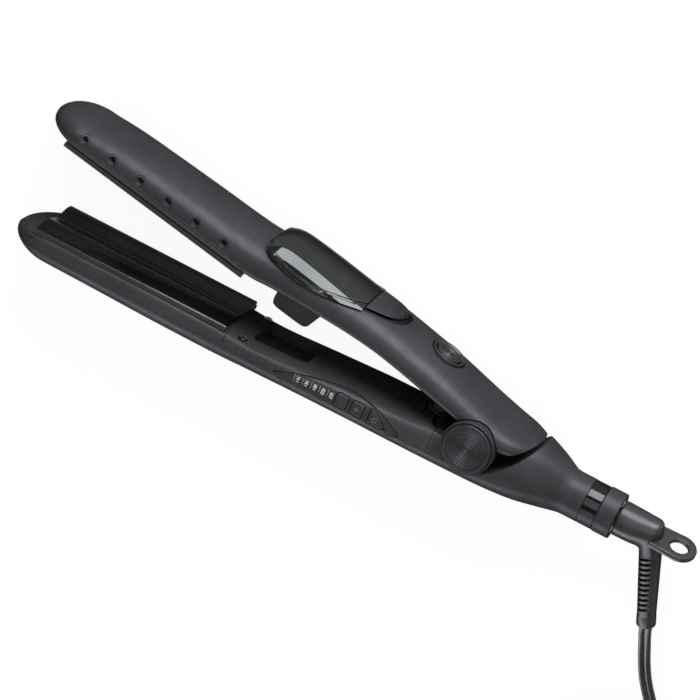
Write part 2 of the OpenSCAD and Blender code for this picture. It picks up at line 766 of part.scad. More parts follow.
module return_spring() {
    color([0.7, 0.7, 0.72])
        translate([0, 0, lug_z[0] + 5.6 + 0.2])
            spring(pin_r + 1.6, 0.6, return_turns, lug_z[1] - lug_z[0] - 5.6 - 0.4, 14);
}

module hinge_yoke() {
    in_upper() color([0.45, 0.45, 0.47])
        difference() {
            union() {
                for (z = lug_z) {
                    translate([0, 0, z]) cylinder(h = 5.6, r = lug_r, $fn = 64);
                    translate([-lug_r, 0, z]) cube([lug_r + 6, 10.4, 5.6]);
                }
                translate([-lug_r - 2, 9, lug_z[0]]) cube([lug_r + 8, 2, lug_z[1] - lug_z[0] + 5.6]);
            }
            translate([0, 0, -1]) cylinder(h = arm_w + 2, r = pin_r + run_fit, $fn = 48);
        }
}

// ---- neck, swivel and boot ----

core_r = 4.6;

module swivel_bush() {
    color([0.8, 0.8, 0.78])
        translate([neck_end - 13, neck_y, half_w])
            rotate([0, 90, 0])
                difference() {
                    cylinder(h = 12.6, r = neck_d / 2 - wall - 0.12, $fn = 64);
                    translate([0, 0, -1]) cylinder(h = 15, r = core_r + run_fit, $fn = 64);
                    translate([0, 0, 4]) cylinder(h = 4.4, r = core_r + 1.3, $fn = 64);
                }
}

module swivel_core() {
    color([0.2, 0.2, 0.2])
        translate([neck_end - 17, neck_y, half_w])
            rotate([0, 90, 0])
                union() {
                    cylinder(h = 17.6, r = core_r, $fn = 64);
                    translate([0, 0, 0.2]) cylinder(h = 3.4, r = core_r + 1.2, $fn = 64);
                }
}

module contact_rings() {
    color([0.75, 0.55, 0.25])
        translate([neck_end - 9, neck_y, half_w])
            rotate([0, 90, 0])
                for (z = [0.2, 2.4])
                    translate([0, 0, z])
                        difference() {
                            cylinder(h = 1.6, r = core_r + 0.8, $fn = 64);
                            translate([0, 0, -1]) cylinder(h = 4, r = core_r + 0.01, $fn = 64);
                        }
}

boot_x0 = neck_end + 0.6;
elbow_x = boot_x0 + boot_len;
boot_r = boot_d / 2;

// Moves to the elbow with +Z along the strain relief
module at_elbow() {
    translate([elbow_x, neck_y, half_w])
        rotate([swivel_turn, 0, 0])
            rotate([90, 0, 0])
                rotate([0, 90 - elbow_angle, 0])
                    children();
}

module swivel_boot() {
    color([0.09, 0.09, 0.09])
        union() {
            translate([boot_x0, neck_y, half_w])
                rotate([0, 90, 0]) cylinder(h = boot_len, r1 = boot_r - 0.4, r2 = boot_r, $fn = 64);
            translate([elbow_x, neck_y, half_w]) sphere(r = boot_r, $fn = 64);
            at_elbow() cylinder(h = boot_r, r1 = boot_r - 1, r2 = relief_r0 + 0.3, $fn = 64);
        }
}

relief_r0 = 5;
relief_r1 = 3.9;
slot_pitch = 2.9;
slot_count = 11;

module strain_relief() {
    color([0.09, 0.09, 0.09])
        at_elbow()
            difference() {
                translate([0, 0, boot_r]) cylinder(h = relief_len - boot_r, r1 = relief_r0, r2 = relief_r1, $fn = 64);
                for (k = [0:slot_count - 1])
                    for (side = [-1, 1])
                        translate([-9, side > 0 ? 1.6 : -11.6, 9.4 + k * slot_pitch]) cube([18, 10, 1.3]);
            }
}

loop_x = elbow_x + 13.6;

module hanging_loop() {
    color([0.1, 0.1, 0.1])
        translate([0, neck_y, half_w])
            rotate([swivel_turn - 90, 0, 0])
                difference() {
                    union() {
                        translate([elbow_x + boot_r - 2, -loop_w / 2, -loop_t / 2])
                            cube([loop_x - elbow_x - boot_r + 2, loop_w, loop_t]);
                        translate([loop_x, 0, -loop_t / 2]) cylinder(h = loop_t, r = loop_w / 2, $fn = 64);
                    }
                    translate([loop_x, 0, -loop_t]) cylinder(h = 2 * loop_t, r = loop_hole_d / 2, $fn = 64);
                    translate([elbow_x, 0, 0]) sphere(r = boot_r + 0.01, $fn = 64);
                }
}

// ---- mains lead ----

lead_route = [
    [102, -58, 5.6], [104, -64, 4.2], [107, -72, 3.2], [111, -80, 3.1],
    [117, -88.5, 3.1], [124, -97, 3.1], [131, -105.5, 3.1], [137, -113.5, 3.1], [141.5, -121.5, 3.1]
];
// The lead starts square on the end of the strain relief
relief_dir = [cos(elbow_angle), -sin(elbow_angle) * cos(swivel_turn), -sin(elbow_angle) * sin(swivel_turn)];
relief_end = [elbow_x, neck_y, half_w] + relief_len * relief_dir;
lead_start = [relief_end, relief_end + 2 * relief_dir];
coil_x = 110;
coil_y = -150;
coil_z = 1.1;

module mains_lead() {
    color([0.06, 0.06, 0.06]) tube(concat(lead_start, lead_route), lead_d / 2, 10);
}

module lead_coil() {
    color([0.06, 0.06, 0.06])
        translate([coil_x, coil_y, coil_z])
            rotate_extrude($fn = 72)
                translate([coil_r - coil_w / 2, 0]) square([coil_w, coil_h]);
}

module lead_tie() {
    color([0.12, 0.12, 0.12])
        translate([coil_x - coil_r, coil_y, coil_z])
            difference() {
                translate([-coil_w / 2 - 1.2, -4, -1]) cube([coil_w + 2.8, 8, coil_h + 2]);
                translate([-coil_w / 2 - 0.2, -5, -0.15]) cube([coil_w + 0.6, 10, coil_h + 0.3]);
            }
}

plug_x = coil_x - 16;
plug_y = coil_y - coil_r - 6;
plug_len = 34;
plug_w = 26;
plug_h = 13.6;

module plug_body() {
    color([0.07, 0.07, 0.07])
        union() {
            translate([plug_x - 18, plug_y, plug_h / 2 + 0.1])
                rotate([0, 90, 0]) cylinder(h = 18, r1 = 5.4, r2 = lead_d / 2 + 0.6, $fn = 32);
            translate([plug_x - 18 - plug_len, plug_y - plug_w / 2, 0.1])
                hull() {
                    translate([0, 0, 2]) cube([plug_len - 10, plug_w, plug_h - 4]);
                    translate([0, 2, 0]) cube([plug_len - 12, plug_w - 4, plug_h]);
                    translate([plug_len - 2, plug_w / 2 - 6, 2]) cube([2, 12, plug_h - 4]);
                }
        }
}

module plug_pins() {
    color([0.8, 0.8, 0.8])
        for (side = [-1, 1])
            translate([plug_x - 18 - plug_len - 19, plug_y + side * 9.3, plug_h / 2 + 0.1])
                rotate([0, 90, 0])
                    union() {
                        translate([0, 0, 1]) cylinder(h = 18, r = 2, $fn = 32);
                        cylinder(h = 1, r1 = 1.2, r2 = 2, $fn = 32);
                    }
}

// ---- upper arm, modelled with the arms closed ----

steam_tilt = 4;
vent_x = upper_plate_x + 7.1;
vent_y = 8;
pump_r = 6;
housing_x0 = block_x - 0.2;
seal_x = block_x + 13.4;
housing_len = 23.4;
housing_bottom = -7.1;
housing_z0 = 8;
housing_w = 21.5;

module upper_outer_shell() {
    xs = stations(-upper_reach, nose_len, 26);
    in_upper() color([0.07, 0.07, 0.075])
        difference() {
            union() {
                difference() {
                    loft([for (x = xs) let (r = row(upper_rows, x))
                        thin_ring(r, x, -upper_reach, -wrap(r), 180 + wrap(r), wrap(r) == 0 ? seam_gap / 2 : 0)], true);
                    translate([0, 0, -1]) above(tank_edge, tank_front_x, tank_tail_x);
                }
                // saddle under the tank
                intersection() {
                    full_loft(upper_rows, -upper_reach, tank_front_x - 2, tank_tail_x + 4, wall / 2);
                    translate([0, 0, -1]) band(tank_edge, tank_front_x - 2, tank_tail_x + 2, 1.6);
                }
            }
            steam_place() translate([0, 0, -20]) cylinder(h = 30, r = steam_ring_r + 0.1, $fn = 64);
            y_cylinder(seal_x, half_w, 10, 20, seal_r);
            for (k = [0:vent_count - 1])
                translate([vent_x + k * vent_pitch, vent_y, -1]) cylinder(h = arm_w + 2, r = vent_r + 0.9, $fn = 24);
            translate([0, 0, -1]) cylinder(h = arm_w + 2, r = ear_r + 0.5, $fn = 72);
            translate([0, 0, -1])
                linear_extrude(height = arm_w + 2)
                    polygon(concat(
                        [[-13, -10], [-13, 5], [0, 5], [8, 4.2]],
                        [for (k = [0:10]) let (x = lerp(9, 26, k / 10)) [x, curve_y(tail_curve, x)]],
                        [[30, 18], [30, -10]]
                    ));
        }
}

module upper_inner_cover() {
    xs = cut_off(stations(-upper_reach, nose_len, 26), -upper_reach - 1, split_x - 2);
    in_upper() color([0.08, 0.08, 0.085])
        difference() {
            union() {
                loft([for (x = xs) let (r = row(upper_rows, x), a = wrap(r) == 0 ? 0 : wrap(r) + 2)
                    thin_ring(r, x, -upper_reach, 180 + a, 360 - a, a == 0 ? -seam_gap / 2 : 0)], true);
                translate([upper_plate_x - 2, upper_wave_y + carrier_depth, wall - 0.4])
                    cube([plate_len + 4, carrier_floor_t, arm_w - 2 * wall + 0.8]);
            }
            translate([upper_plate_x - plate_clear, upper_wave_y - 20, half_w - plate_hole_w / 2])
                cube([plate_len + 2 * plate_clear, 20 + carrier_depth, plate_hole_w]);
            translate([housing_x0 - 0.2, -10, housing_z0 - 0.2])
                cube([housing_len + 0.4, 20, housing_w + 0.4]);
            y_cylinder(-plunger_x, half_w, -10, 20, pump_r + 0.1);
            for (s = upper_screw_spots) {
                y_cylinder(s[0], s[1], -10, 10, screw_r + 0.15, 24);
                y_cylinder(s[0], s[1], -10, screw_seat_y(s[0]), screw_head_r + 0.1, 24);
            }
        }
}

front_screw_x = block_x - 5.1;
rear_screw_x = block_x + 41.4;
upper_screw_spots = [[front_screw_x, 10], [front_screw_x, arm_w - 10], [rear_screw_x, 12], [rear_screw_x, arm_w - 12]];
// Seat of a screw's head under the upper arm
function screw_seat_y(x) = curve_y(upper_rows, x) - row(upper_rows, x)[3] + 0.9;

module upper_plate_carrier() {
    in_upper() plate_carrier(upper_plate_x, upper_wave_y, -1);
}

module upper_crimp_plate() {
    in_upper() crimp_plate(upper_plate_x, upper_wave_y, -1);
}

module upper_heater() {
    in_upper() color([0.85, 0.85, 0.8]) heater_block(upper_plate_x, upper_heater_y, 0);
}

module upper_insulator() {
    in_upper() heater_sleeve(upper_plate_x, upper_heater_y);
}

module chamber_housing() {
    in_upper() color([0.1, 0.1, 0.105])
        translate([housing_x0, 0, housing_z0])
            difference() {
                linear_extrude(height = housing_w)
                    polygon([
                        [0, 9], [0.6, -4], [1.4, housing_bottom + 0.9], [3, housing_bottom + 0.2],
                        [5, housing_bottom], [16, housing_bottom], [19, housing_bottom + 0.3],
                        [20.6, housing_bottom + 1.6], [21.4, -2], [22.4, 1.6], [housing_len, 3], [housing_len, 9]
                    ]);
                translate([2, -4.6, 1.6]) linear_extrude(height = housing_w - 3.2)
                    square([17.4, 20]);
            }
}

module steam_chamber() {
    in_upper() color([0.7, 0.7, 0.7])
        difference() {
            translate([housing_x0 + 2.4, -4.3, housing_z0 + 2]) cube([16.6, 12, housing_w - 4]);
            y_cylinder(housing_x0 + 10.5, half_w, -1, 10, 2.2, 32);
        }
}

manifold_r = 1.3;
manifold_z = 5.2;
manifold_len = -vent_x + 2.4 + block_x;

module steam_manifold() {
    in_upper() color([0.8, 0.8, 0.75])
        for (z = [manifold_z, arm_w - manifold_z])
            translate([vent_x - 2, vent_y - 0.6, z])
                rotate([0, 90, 0])
                    difference() {
                        cylinder(h = manifold_len, r = manifold_r, $fn = 32);
                        translate([0, 0, 1]) cylinder(h = manifold_len, r = manifold_r - 0.6, $fn = 32);
                    }
}

module vent_nozzles() {
    in_upper() color([0.12, 0.12, 0.12])
        for (k = [0:vent_count - 1])
            for (z = [[0.7, 3.8], [arm_w - 3.8, arm_w - 0.7]])
                translate([vent_x + k * vent_pitch, vent_y, z[0]])
                    difference() {
                        cylinder(h = z[1] - z[0], r = vent_r + 0.8, $fn = 32);
                        translate([0, 0, -1]) cylinder(h = 5, r = vent_r, $fn = 32);
                    }
}

module pump_body() {
    in_upper() color([0.8, 0.8, 0.8])
        difference() {
            y_cylinder(-plunger_x, half_w, 5.6, pump_top, pump_r);
            y_cylinder(-plunger_x, half_w, 4, pump_top - 1.4, plunger_r + run_fit);
        }
}

module pump_plunger() {
    in_upper() color([0.1, 0.1, 0.1])
        difference() {
            union() {
                y_cylinder(-plunger_x, half_w, plunger_foot, plunger_top, plunger_r);
                y_cylinder(-plunger_x, half_w, plunger_foot, plunger_foot + 1.2, plunger_r + 1.4);
            }
            y_cylinder(-plunger_x, half_w, plunger_foot + 1.6, plunger_top + 1, plunger_r - 1.1);
        }
}

module pump_spring() {
    in_upper() color([0.7, 0.7, 0.72])
        translate([-plunger_x, plunger_foot + 1.6 + plunger_stroke + 0.3, half_w])
            rotate([-90, 0, 0])
                spring(1.9, 0.35, 6, pump_top - 1.4 - plunger_foot - 1.9 - plunger_stroke, 10);
}

hose_route = [
    [seal_x, 7.75, half_w], [seal_x, 9.5, half_w], [seal_x + 2.5, 11, half_w - 0.1],
    [lerp(seal_x, -65, 8 / 33), 11.4, half_w - 1], [lerp(seal_x, -65, 18 / 33), 12, half_w - 3],
    [-65, 12.4, half_w - 3.5], [-50, 12.5, half_w - 6.5],
    [-40, 12, half_w - 9], [-30, 12, half_w - 9.5], [-25, 12, half_w - 7]
];

module water_hose() {
    in_upper() color([0.85, 0.85, 0.8]) tube(hose_route, 1.5, 8);
}

// ---- water tank and latch ----

tank_joint_gap = 0.3;

module tank_envelope(inset, from, to) {
    xs = concat([from], [for (k = [1:11]) lerp(from, to, k / 12)], [to]);
    loft([for (x = xs) full_ring(row(tank_rows, x), x, -400, inset)]);
}

module water_tank() {
    in_upper() color([0.02, 0.03, 0.03])
        intersection() {
            difference() {
                tank_envelope(0, tank_front_x, -latch_x);
                tank_envelope(tank_wall, tank_front_x + 2, -latch_x - tank_wall);
            }
            translate([0, 0, -1]) above(tank_edge, tank_front_x + 0.2, -latch_x, 0.3);
        }
}

module tank_base() {
    in_upper() color([0.03, 0.04, 0.04])
        intersection() {
            tank_envelope(tank_wall + 0.05, tank_front_x + 2.2, -latch_x - tank_wall - 0.2);
            translate([0, 0, -1])
                difference() {
                    above(tank_edge, tank_front_x + 6, -latch_x - 2, 0.4);
                    above(tank_edge, tank_front_x + 5, -latch_x - 1, 1.8);
                }
        }
}

module tank_latch() {
    in_upper() color([0.08, 0.08, 0.085])
        intersection() {
            difference() {
                tank_envelope(0, -latch_x + tank_joint_gap, tank_tail_x);
                tank_envelope(1.8, -latch_x - 1, tank_tail_x + 1);
            }
            translate([0, 0, -1]) above(tank_edge, -latch_x + tank_joint_gap, tank_tail_x - 2 - latch_travel, 0.3);
        }
}

module latch_spring() {
    in_upper() color([0.7, 0.7, 0.72])
        translate([-latch_x + 0.1, 21.35, half_w])
            rotate([0, 90, 0]) spring(0.6, 0.2, 5, 5, 8, 5);
}

seal_r = 4;

module tank_seal() {
    in_upper() color([0.5, 0.15, 0.1])
        translate([seal_x, curve_y(tank_edge, seal_x) - 1.5, half_w])
            rotate([-90, 0, 0])
                difference() {
                    cylinder(h = 1.2, r = seal_r, $fn = 48);
                    translate([0, 0, -1]) cylinder(h = 4, r = 2, $fn = 48);
                }
}

// ---- steam button ----

// Moves to the top of the upper arm, with +Z out of the button
module steam_place() {
    translate([-steam_x, curve_y(upper_rows, -steam_x) + row(upper_rows, -steam_x)[2], half_w])
        rotate([0, 0, -steam_tilt])
            rotate([-90, 0, 0])
                children();
}

module steam_button_ring() {
    in_upper() color([0.08, 0.08, 0.085])
        steam_place()
            rotate_extrude($fn = 64)
                polygon([
                    [steam_r + 0.2, -3.2], [steam_ring_r, -3.2], [steam_ring_r, 0], [steam_ring_r - 0.6, 0.5],
                    [steam_r + 0.7, 0.5], [steam_r + 0.2, 0.2]
                ]);
}

module steam_button() {
    in_upper() color([0.1, 0.1, 0.105])
        steam_place()
            rotate_extrude($fn = 64)
                polygon([[0, -2], [steam_r, -2], [steam_r, 0.2], [steam_r - 0.8, 0.8], [0, 0.3]]);
}

module steam_button_spring() {
    in_upper() color([0.7, 0.7, 0.72])
        steam_place() translate([0, 0, -6.4]) spring(3, 0.35, 3, 4.3 - steam_travel, 10);
}

module steam_switch() {
    in_upper() color([0.2, 0.2, 0.2])
        steam_place()
            union() {
                translate([-4, -4, -9.4]) cube([8, 8, 3]);
                translate([0, 0, -6.5]) cylinder(h = 4.1 - steam_travel, r = 1.2, $fn = 24);
            }
}

module upper_screws() {
    in_upper() color([0.6, 0.6, 0.62])
        for (s = upper_screw_spots) {
            y_cylinder(s[0], s[1], screw_seat_y(s[0]), curve_y(upper_rows, s[0]) + 1, screw_r - 0.1, 24);
            y_cylinder(s[0], s[1], screw_seat_y(s[0]) - 1.2, screw_seat_y(s[0]), screw_head_r, 24);
        }
}

lower_outer_shell();
lower_inner_cover();
rear_cover();
lower_plate_carrier();
lower_crimp_plate();
lower_heater();
lower_insulator();
control_board();
tact_switches();
indicator_lamps();
panel_bezel();
lower_screws();
hinge_ears();
hinge_pin();
hinge_bushes();
hinge_ring();
far_hinge_cap();
return_spring();
neck_inlay();
swivel_bush();
mains_lead();
lead_coil();
lead_tie();
plug_body();
plug_pins();
power_button();
minus_button();
plus_button();
lock_button();
swivel_core();
contact_rings();
swivel_boot();
strain_relief();
hanging_loop();
upper_outer_shell();
upper_inner_cover();
upper_plate_carrier();
upper_crimp_plate();
upper_heater();
upper_insulator();
chamber_housing();
steam_chamber();
steam_manifold();
vent_nozzles();
pump_body();
pump_spring();
water_hose();
tank_seal();
steam_button_ring();
steam_button_spring();
steam_switch();
hinge_yoke();
upper_screws();
steam_button();
pump_plunger();
water_tank();
tank_base();
tank_latch();
latch_spring();
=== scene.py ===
import json
from math import copysign, cos, dist, hypot, pi, radians, sin, sqrt
import bpy
import bmesh
from mathutils import Matrix, Vector


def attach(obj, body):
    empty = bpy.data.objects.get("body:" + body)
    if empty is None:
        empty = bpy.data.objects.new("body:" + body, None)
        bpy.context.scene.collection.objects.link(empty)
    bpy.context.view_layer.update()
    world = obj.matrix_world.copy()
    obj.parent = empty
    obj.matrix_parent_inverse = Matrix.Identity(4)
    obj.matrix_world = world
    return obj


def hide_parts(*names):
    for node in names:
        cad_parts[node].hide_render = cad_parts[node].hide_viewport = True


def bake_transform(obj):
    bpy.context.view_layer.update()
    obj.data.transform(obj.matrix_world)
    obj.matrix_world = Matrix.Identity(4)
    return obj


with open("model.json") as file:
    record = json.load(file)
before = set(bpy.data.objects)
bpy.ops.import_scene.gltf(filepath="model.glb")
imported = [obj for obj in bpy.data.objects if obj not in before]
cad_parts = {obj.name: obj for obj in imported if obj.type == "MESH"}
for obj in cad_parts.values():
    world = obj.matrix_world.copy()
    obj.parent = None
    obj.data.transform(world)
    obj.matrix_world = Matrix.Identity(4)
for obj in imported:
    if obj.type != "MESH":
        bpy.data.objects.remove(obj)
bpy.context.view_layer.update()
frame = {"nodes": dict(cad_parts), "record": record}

# Sizes are in mm. X runs along the arms with the hinge at 0, Y from the lower arm to the upper, and Z up
# from the table.
MM = 0.001
HW = 20.5
ARM_W = 2 * HW
LOWER_REACH, UPPER_REACH = 235.0, 242.0
NOSE, WALL, GAP = 20.0, 2.0, 0.2
OPEN = radians(10.3)
CO, SO = cos(OPEN), sin(OPEN)
NECK_Y, NECK_END, SEAM = -5.7, 70.5, -11.0
PANEL_Z, WINDOW_GAP = 26, 0.34
HINGE_R, SCREW_HOLE_R = 12.3, 2.4

# ---- mesh helpers ----


def link(name, data):
    ob = bpy.data.objects.new(name, data)
    bpy.context.scene.collection.objects.link(ob)
    return ob


def finish_mesh(me, angle):
    """Joins doubled points and smooths the faces, apart from edges sharper than an angle in degrees."""
    bm = bmesh.new()
    bm.from_mesh(me)
    bmesh.ops.remove_doubles(bm, verts=bm.verts, dist=2e-6)
    bmesh.ops.recalc_face_normals(bm, faces=bm.faces)
    limit = radians(angle)
    for f in bm.faces:
        f.smooth = True
    for e in bm.edges:
        e.smooth = len(e.link_faces) == 2 and e.calc_face_angle(0) < limit
    bm.to_mesh(me)
    bm.free()
    me.update()


def piece(name, me, body, slot, replaces="", mat=None, angle=32):
    """Stands a finished mesh in the scene. Its material is its slot's own where mat isn't given."""
    finish_mesh(me, angle)
    me.materials.clear()
    me.materials.append(M[mat or slot])
    ob = link(name, me)
    if body:
        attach(ob, body)
    if replaces:
        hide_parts(replaces)
    return ob


def mesh_from(verts, faces, place=None):
    """Mesh of points in mm, each moved by place where it is given."""
    if place:
        verts = [place(p) for p in verts]
    me = bpy.data.meshes.new("shape")
    me.from_pydata([(v[0] * MM, v[1] * MM, v[2] * MM) for v in verts], [], faces)
    me.update()
    return me


def move(me, place):
    """Moves a mesh's points by a function of points in mm."""
    for v in me.vertices:
        v.co = [c * MM for c in place((v.co.x / MM, v.co.y / MM, v.co.z / MM))]
    return me


def up(p):
    """Closed-arm point of the upper arm to its place at rest."""
    return (p[0] * CO + p[1] * SO, -p[0] * SO + p[1] * CO, p[2])


def fix(me):
    """Turns all of a mesh's faces outward."""
    bm = bmesh.new()
    bm.from_mesh(me)
    bmesh.ops.recalc_face_normals(bm, faces=bm.faces)
    bm.to_mesh(me)
    bm.free()
    return me


def join(meshes):
    bm = bmesh.new()
    for me in meshes:
        bm.from_mesh(me)
    out = bpy.data.meshes.new("joined")
    bm.to_mesh(out)
    bm.free()
    return out


def modify(me, *mods):
    """Applies modifiers given as (type, settings) and returns the new mesh."""
    ob = link("work", me)
    for kind, settings in mods:
        m = ob.modifiers.new("m", kind)
        for k, v in settings.items():
            setattr(m, k, v)
    bpy.context.view_layer.update()
    dg = bpy.context.evaluated_depsgraph_get()
    out = bpy.data.meshes.new_from_object(ob.evaluated_get(dg))
    bpy.data.objects.remove(ob, do_unlink=True)
    return out


def boolean(op, me, others):
    tools = [link("cutter", fix(o)) for o in others]
    mods = [("BOOLEAN", {"operation": op, "solver": "EXACT", "object": t}) for t in tools]
    out = modify(fix(me), *mods)
    for t in tools:
        bpy.data.objects.remove(t, do_unlink=True)
    return out


def cut(me, *others):
    return boolean("DIFFERENCE", me, others)


def fuse(me, *others):
    return boolean("UNION", me, others)


def meet(me, *others):
    return boolean("INTERSECT", me, others)


def bevel(width, segments):
    return ("BEVEL", {"width": width * MM, "segments": segments, "limit_method": "ANGLE",
                      "angle_limit": radians(50), "harden_normals": False})


def circle(n):
    """The angles of n points around a circle."""
    return [2 * pi * k / n for k in range(n)]


def band_faces(j, n):
    """Quads between ring j and the next, of n points each."""
    return [(j * n + i, j * n + (i + 1) % n, (j + 1) * n + (i + 1) % n, (j + 1) * n + i) for i in range(n)]


def loft(rings, caps=True, thin=False, place=None):
    """Mesh through rings of equal length. A thin ring is an outer line and its inner line backwards."""
    n, m = len(rings[0]), len(rings)
    faces = [f for j in range(m - 1) for f in band_faces(j, n)]
    if caps and thin:
        faces += [(e + k, e + k + 1, e + n - 2 - k, e + n - 1 - k)
                  for e in (0, (m - 1) * n) for k in range(n // 2 - 1)]
    elif caps:
        faces += [tuple(range(n)), tuple((m - 1) * n + i for i in range(n))]
    return mesh_from([p for r in rings for p in r], faces, place)


def prism(outline, z0=-2, z1=44):
    """Prism of an outline in X and Y. It passes through the whole arm where no heights are given."""
    n = len(outline)
    verts = [(p[0], p[1], z) for z in (z0, z1) for p in outline]
    return mesh_from(verts, [tuple(range(n)), tuple(range(n, 2 * n))] + band_faces(0, n))


def box(x0, y0, z0, x1, y1, z1):
    return prism([(x0, y0), (x1, y0), (x1, y1), (x0, y1)], z0, z1)


def lathe(profile, steps=96, place=None, closed=False):
    """Turned solid about Z, of (radius, height) points from axis to axis or in a closed loop."""
    verts, faces = [], []
    n = len(profile)
    for k, a in enumerate(circle(steps)):
        verts += [(r * cos(a), r * sin(a), z) for r, z in profile]
        here, there = k * n, (k + 1) % steps * n
        faces += [(here + i, here + (i + 1) % n, there + (i + 1) % n, there + i)
                  for i in range(n if closed else n - 1)]
    return mesh_from(verts, faces, place)


def cylinder(base, axis, r, length, steps=64):
    """Cylinder from a base point along an axis."""
    a = Vector(axis).normalized()
    s = a.orthogonal().normalized()
    t = a.cross(s)
    return loft([[tuple(Vector(base) + a * d + (s * cos(q) + t * sin(q)) * r) for q in circle(steps)]
                 for d in (0, length)])


def round_poly(pts, r, per=6):
    """Rounds a polygon's corners."""
    out = []
    n = len(pts)
    for i in range(n):
        p, a, b = Vector(pts[i]), Vector(pts[i - 1]), Vector(pts[(i + 1) % n])
        da, db = (a - p), (b - p)
        k = min(r, da.length * 0.45, db.length * 0.45)
        s, e = p + da.normalized() * k, p + db.normalized() * k
        for j in range(per + 1):
            t = j / per
            q = s * (1 - t) ** 2 + p * 2 * t * (1 - t) + e * t * t
            out.append((q.x, q.y))
    return out


# ---- the arms' sections ----


def slope(p, i):
    a, b = max(i - 1, 0), min(i + 1, len(p) - 1)
    return [(p[b][k] - p[a][k]) / (p[b][0] - p[a][0]) for k in range(len(p[0]))]


def row(p, x):
    """Values of a table at x, on a smooth curve through its rows."""
    if x <= p[0][0]:
        return list(p[0])
    if x >= p[-1][0]:
        return list(p[-1])
    i = max(k for k in range(len(p) - 1) if x >= p[k][0])
    h = p[i + 1][0] - p[i][0]
    t = (x - p[i][0]) / h
    s0, s1 = slope(p, i), slope(p, i + 1)
    a, b = 2 * t ** 3 - 3 * t ** 2 + 1, 3 * t ** 2 - 2 * t ** 3
    c, d = t ** 3 - 2 * t ** 2 + t, t ** 3 - t ** 2
    return [p[i][k] * a + p[i + 1][k] * b + s0[k] * h * c + s1[k] * h * d for k in range(len(p[0]))]


def curve(p, x):
    return row(p, x)[1]


def along(c, x0, x1, steps, lift=0.0):
    """Points of a curve between two places."""
    return [(x, curve(c, x) + lift) for x in (x0 + (x1 - x0) * k / steps for k in range(steps + 1))]


# Each row: x, the middle's y, the heights above and below it, half the width, the exponents above and
# below, and for the upper arm how many degrees its back wraps past the middle.
LOWER = [
    (-LOWER_REACH + NOSE, SEAM, 7.2, 9.4, HW, 4.5, 2.2),
    (-190, SEAM, 7.2, 9.9, HW, 4.5, 2.2),
    (-158, SEAM, 7.2, 10.7, HW, 4.5, 2.2),
    (-126, SEAM, 6.6, 10.8, HW, 4.5, 2.2),
    (-108, SEAM, 5.6, 10.2, HW, 4, 2.2),
    (-80, SEAM, 7.4, 9.4, HW, 4, 2.2),
    (-55, SEAM, 9.0, 9.0, HW, 4, 2.2),
    (-25, SEAM + 0.2, 10.3, 9.1, HW, 4, 2.2),
    (0, SEAM + 1.4, 16, 10.2, HW, 3.2, 2.2),
    (12, SEAM + 2.4, 20, 11, HW - 0.1, 2.6, 2.2),
    (25, SEAM + 4, 19.6, 12, HW - 1.7, 2.3, 2.2),
    (36, SEAM + 4.9, 15.6, 11.6, HW - 5.6, 2.1, 2.1),
    (46, NECK_Y, 10.5, 10.5, 10.5, 2, 2),
    (47, NECK_Y, 10.5, 10.5, 10.5, 2, 2),
    (NECK_END, NECK_Y, 10.5, 10.5, 10.5, 2, 2),
]
UPPER = [
    (-UPPER_REACH + NOSE, 4.8, 9.2, 3.6, HW, 2.2, 5, 0),
    (-206, 5.2, 10.5, 4.0, HW, 2.2, 5, 0),
    (-183, 5.3, 11.3, 4.1, HW, 2.2, 5, 0),
    (-161, 5.3, 11.9, 4.1, HW, 2.2, 5, 0),
    (-138, 5.4, 12.2, 4.2, HW, 2.2, 5, 0),
    (-124, 6.0, 12.8, 6.0, HW, 2.2, 3.5, 20),
    (-112, 7.3, 13.0, 6.0, HW, 2.2, 2.6, 35),
    (-80, 10.3, 12.9, 4.6, HW, 2.2, 2.6, 40),
    (-60, 11, 12.4, 3.6, HW, 2.2, 2.6, 40),
    (-45, 11, 11.5, 4.4, HW, 2.2, 2.6, 40),
    (-31, 10.5, 11.0, 5.2, HW, 2.2, 2.6, 40),
    (-17, 9.5, 10.2, 5.0, HW, 2.2, 2.6, 40),
    (-4, 8.7, 9.2, 5.0, HW, 2.2, 2.6, 40),
    (8, 8, 8.6, 5.0, HW, 2.2, 2.6, 40),
    (16, 9, 7.2, 5.0, HW - 1.6, 2.2, 2.6, 40),
    (22, 10.5, 5.2, 5.0, HW - 5.6, 2.2, 2.6, 40),
    (26, 12, 3.4, 5.0, HW - 11, 2.2, 2.6, 40),
]
TANK = [
    (-130, 5.6, 13.0, 4, HW, 2.3, 2.2),
    (-125, 5.9, 16.0, 4, HW + 0.2, 2.3, 2.2),
    (-120, 6.5, 18.0, 4, HW + 0.3, 2.3, 2.2),
    (-114, 7.1, 18.3, 4, HW + 0.3, 2.3, 2.2),
    (-98, 8.8, 16.4, 4, HW + 0.3, 2.3, 2.2),
    (-73.5, 10.5, 13.7, 4, HW + 0.3, 2.3, 2.2),
    (-62, 10.9, 13.2, 4, HW + 0.2, 2.3, 2.2),
    (-51, 11, 12.2, 4, HW, 2.3, 2.2),
]
TANK_EDGE = [(-127, 19.4), (-125.3, 17.7), (-121.6, 16.3), (-116, 15.2), (-106, 14.4),
             (-95, 15.3), (-83, 17.8), (-73.5, 20), (-57, 22.2), (-50, 23.6)]
TANK_FRONT, TANK_TAIL = -124.9, -51.3
CUP = [(-12, -10), (-6, -12.6), (2, -13.2), (9.7, -9), (18.8, -1.7), (25.6, 6.9), (29.8, 13.6)]
TAIL = [(8, 4), (15.6, 6.5), (20.1, 10.6), (22.8, 13.9), (26, 18)]
PANEL_TOP = [(-94.4, -10.6), (-85, -7.3), (-70, -4.4), (-55.6, -3.5), (-43, -5.2), (-34, -9.2),
             (-31.1, -11.3)]
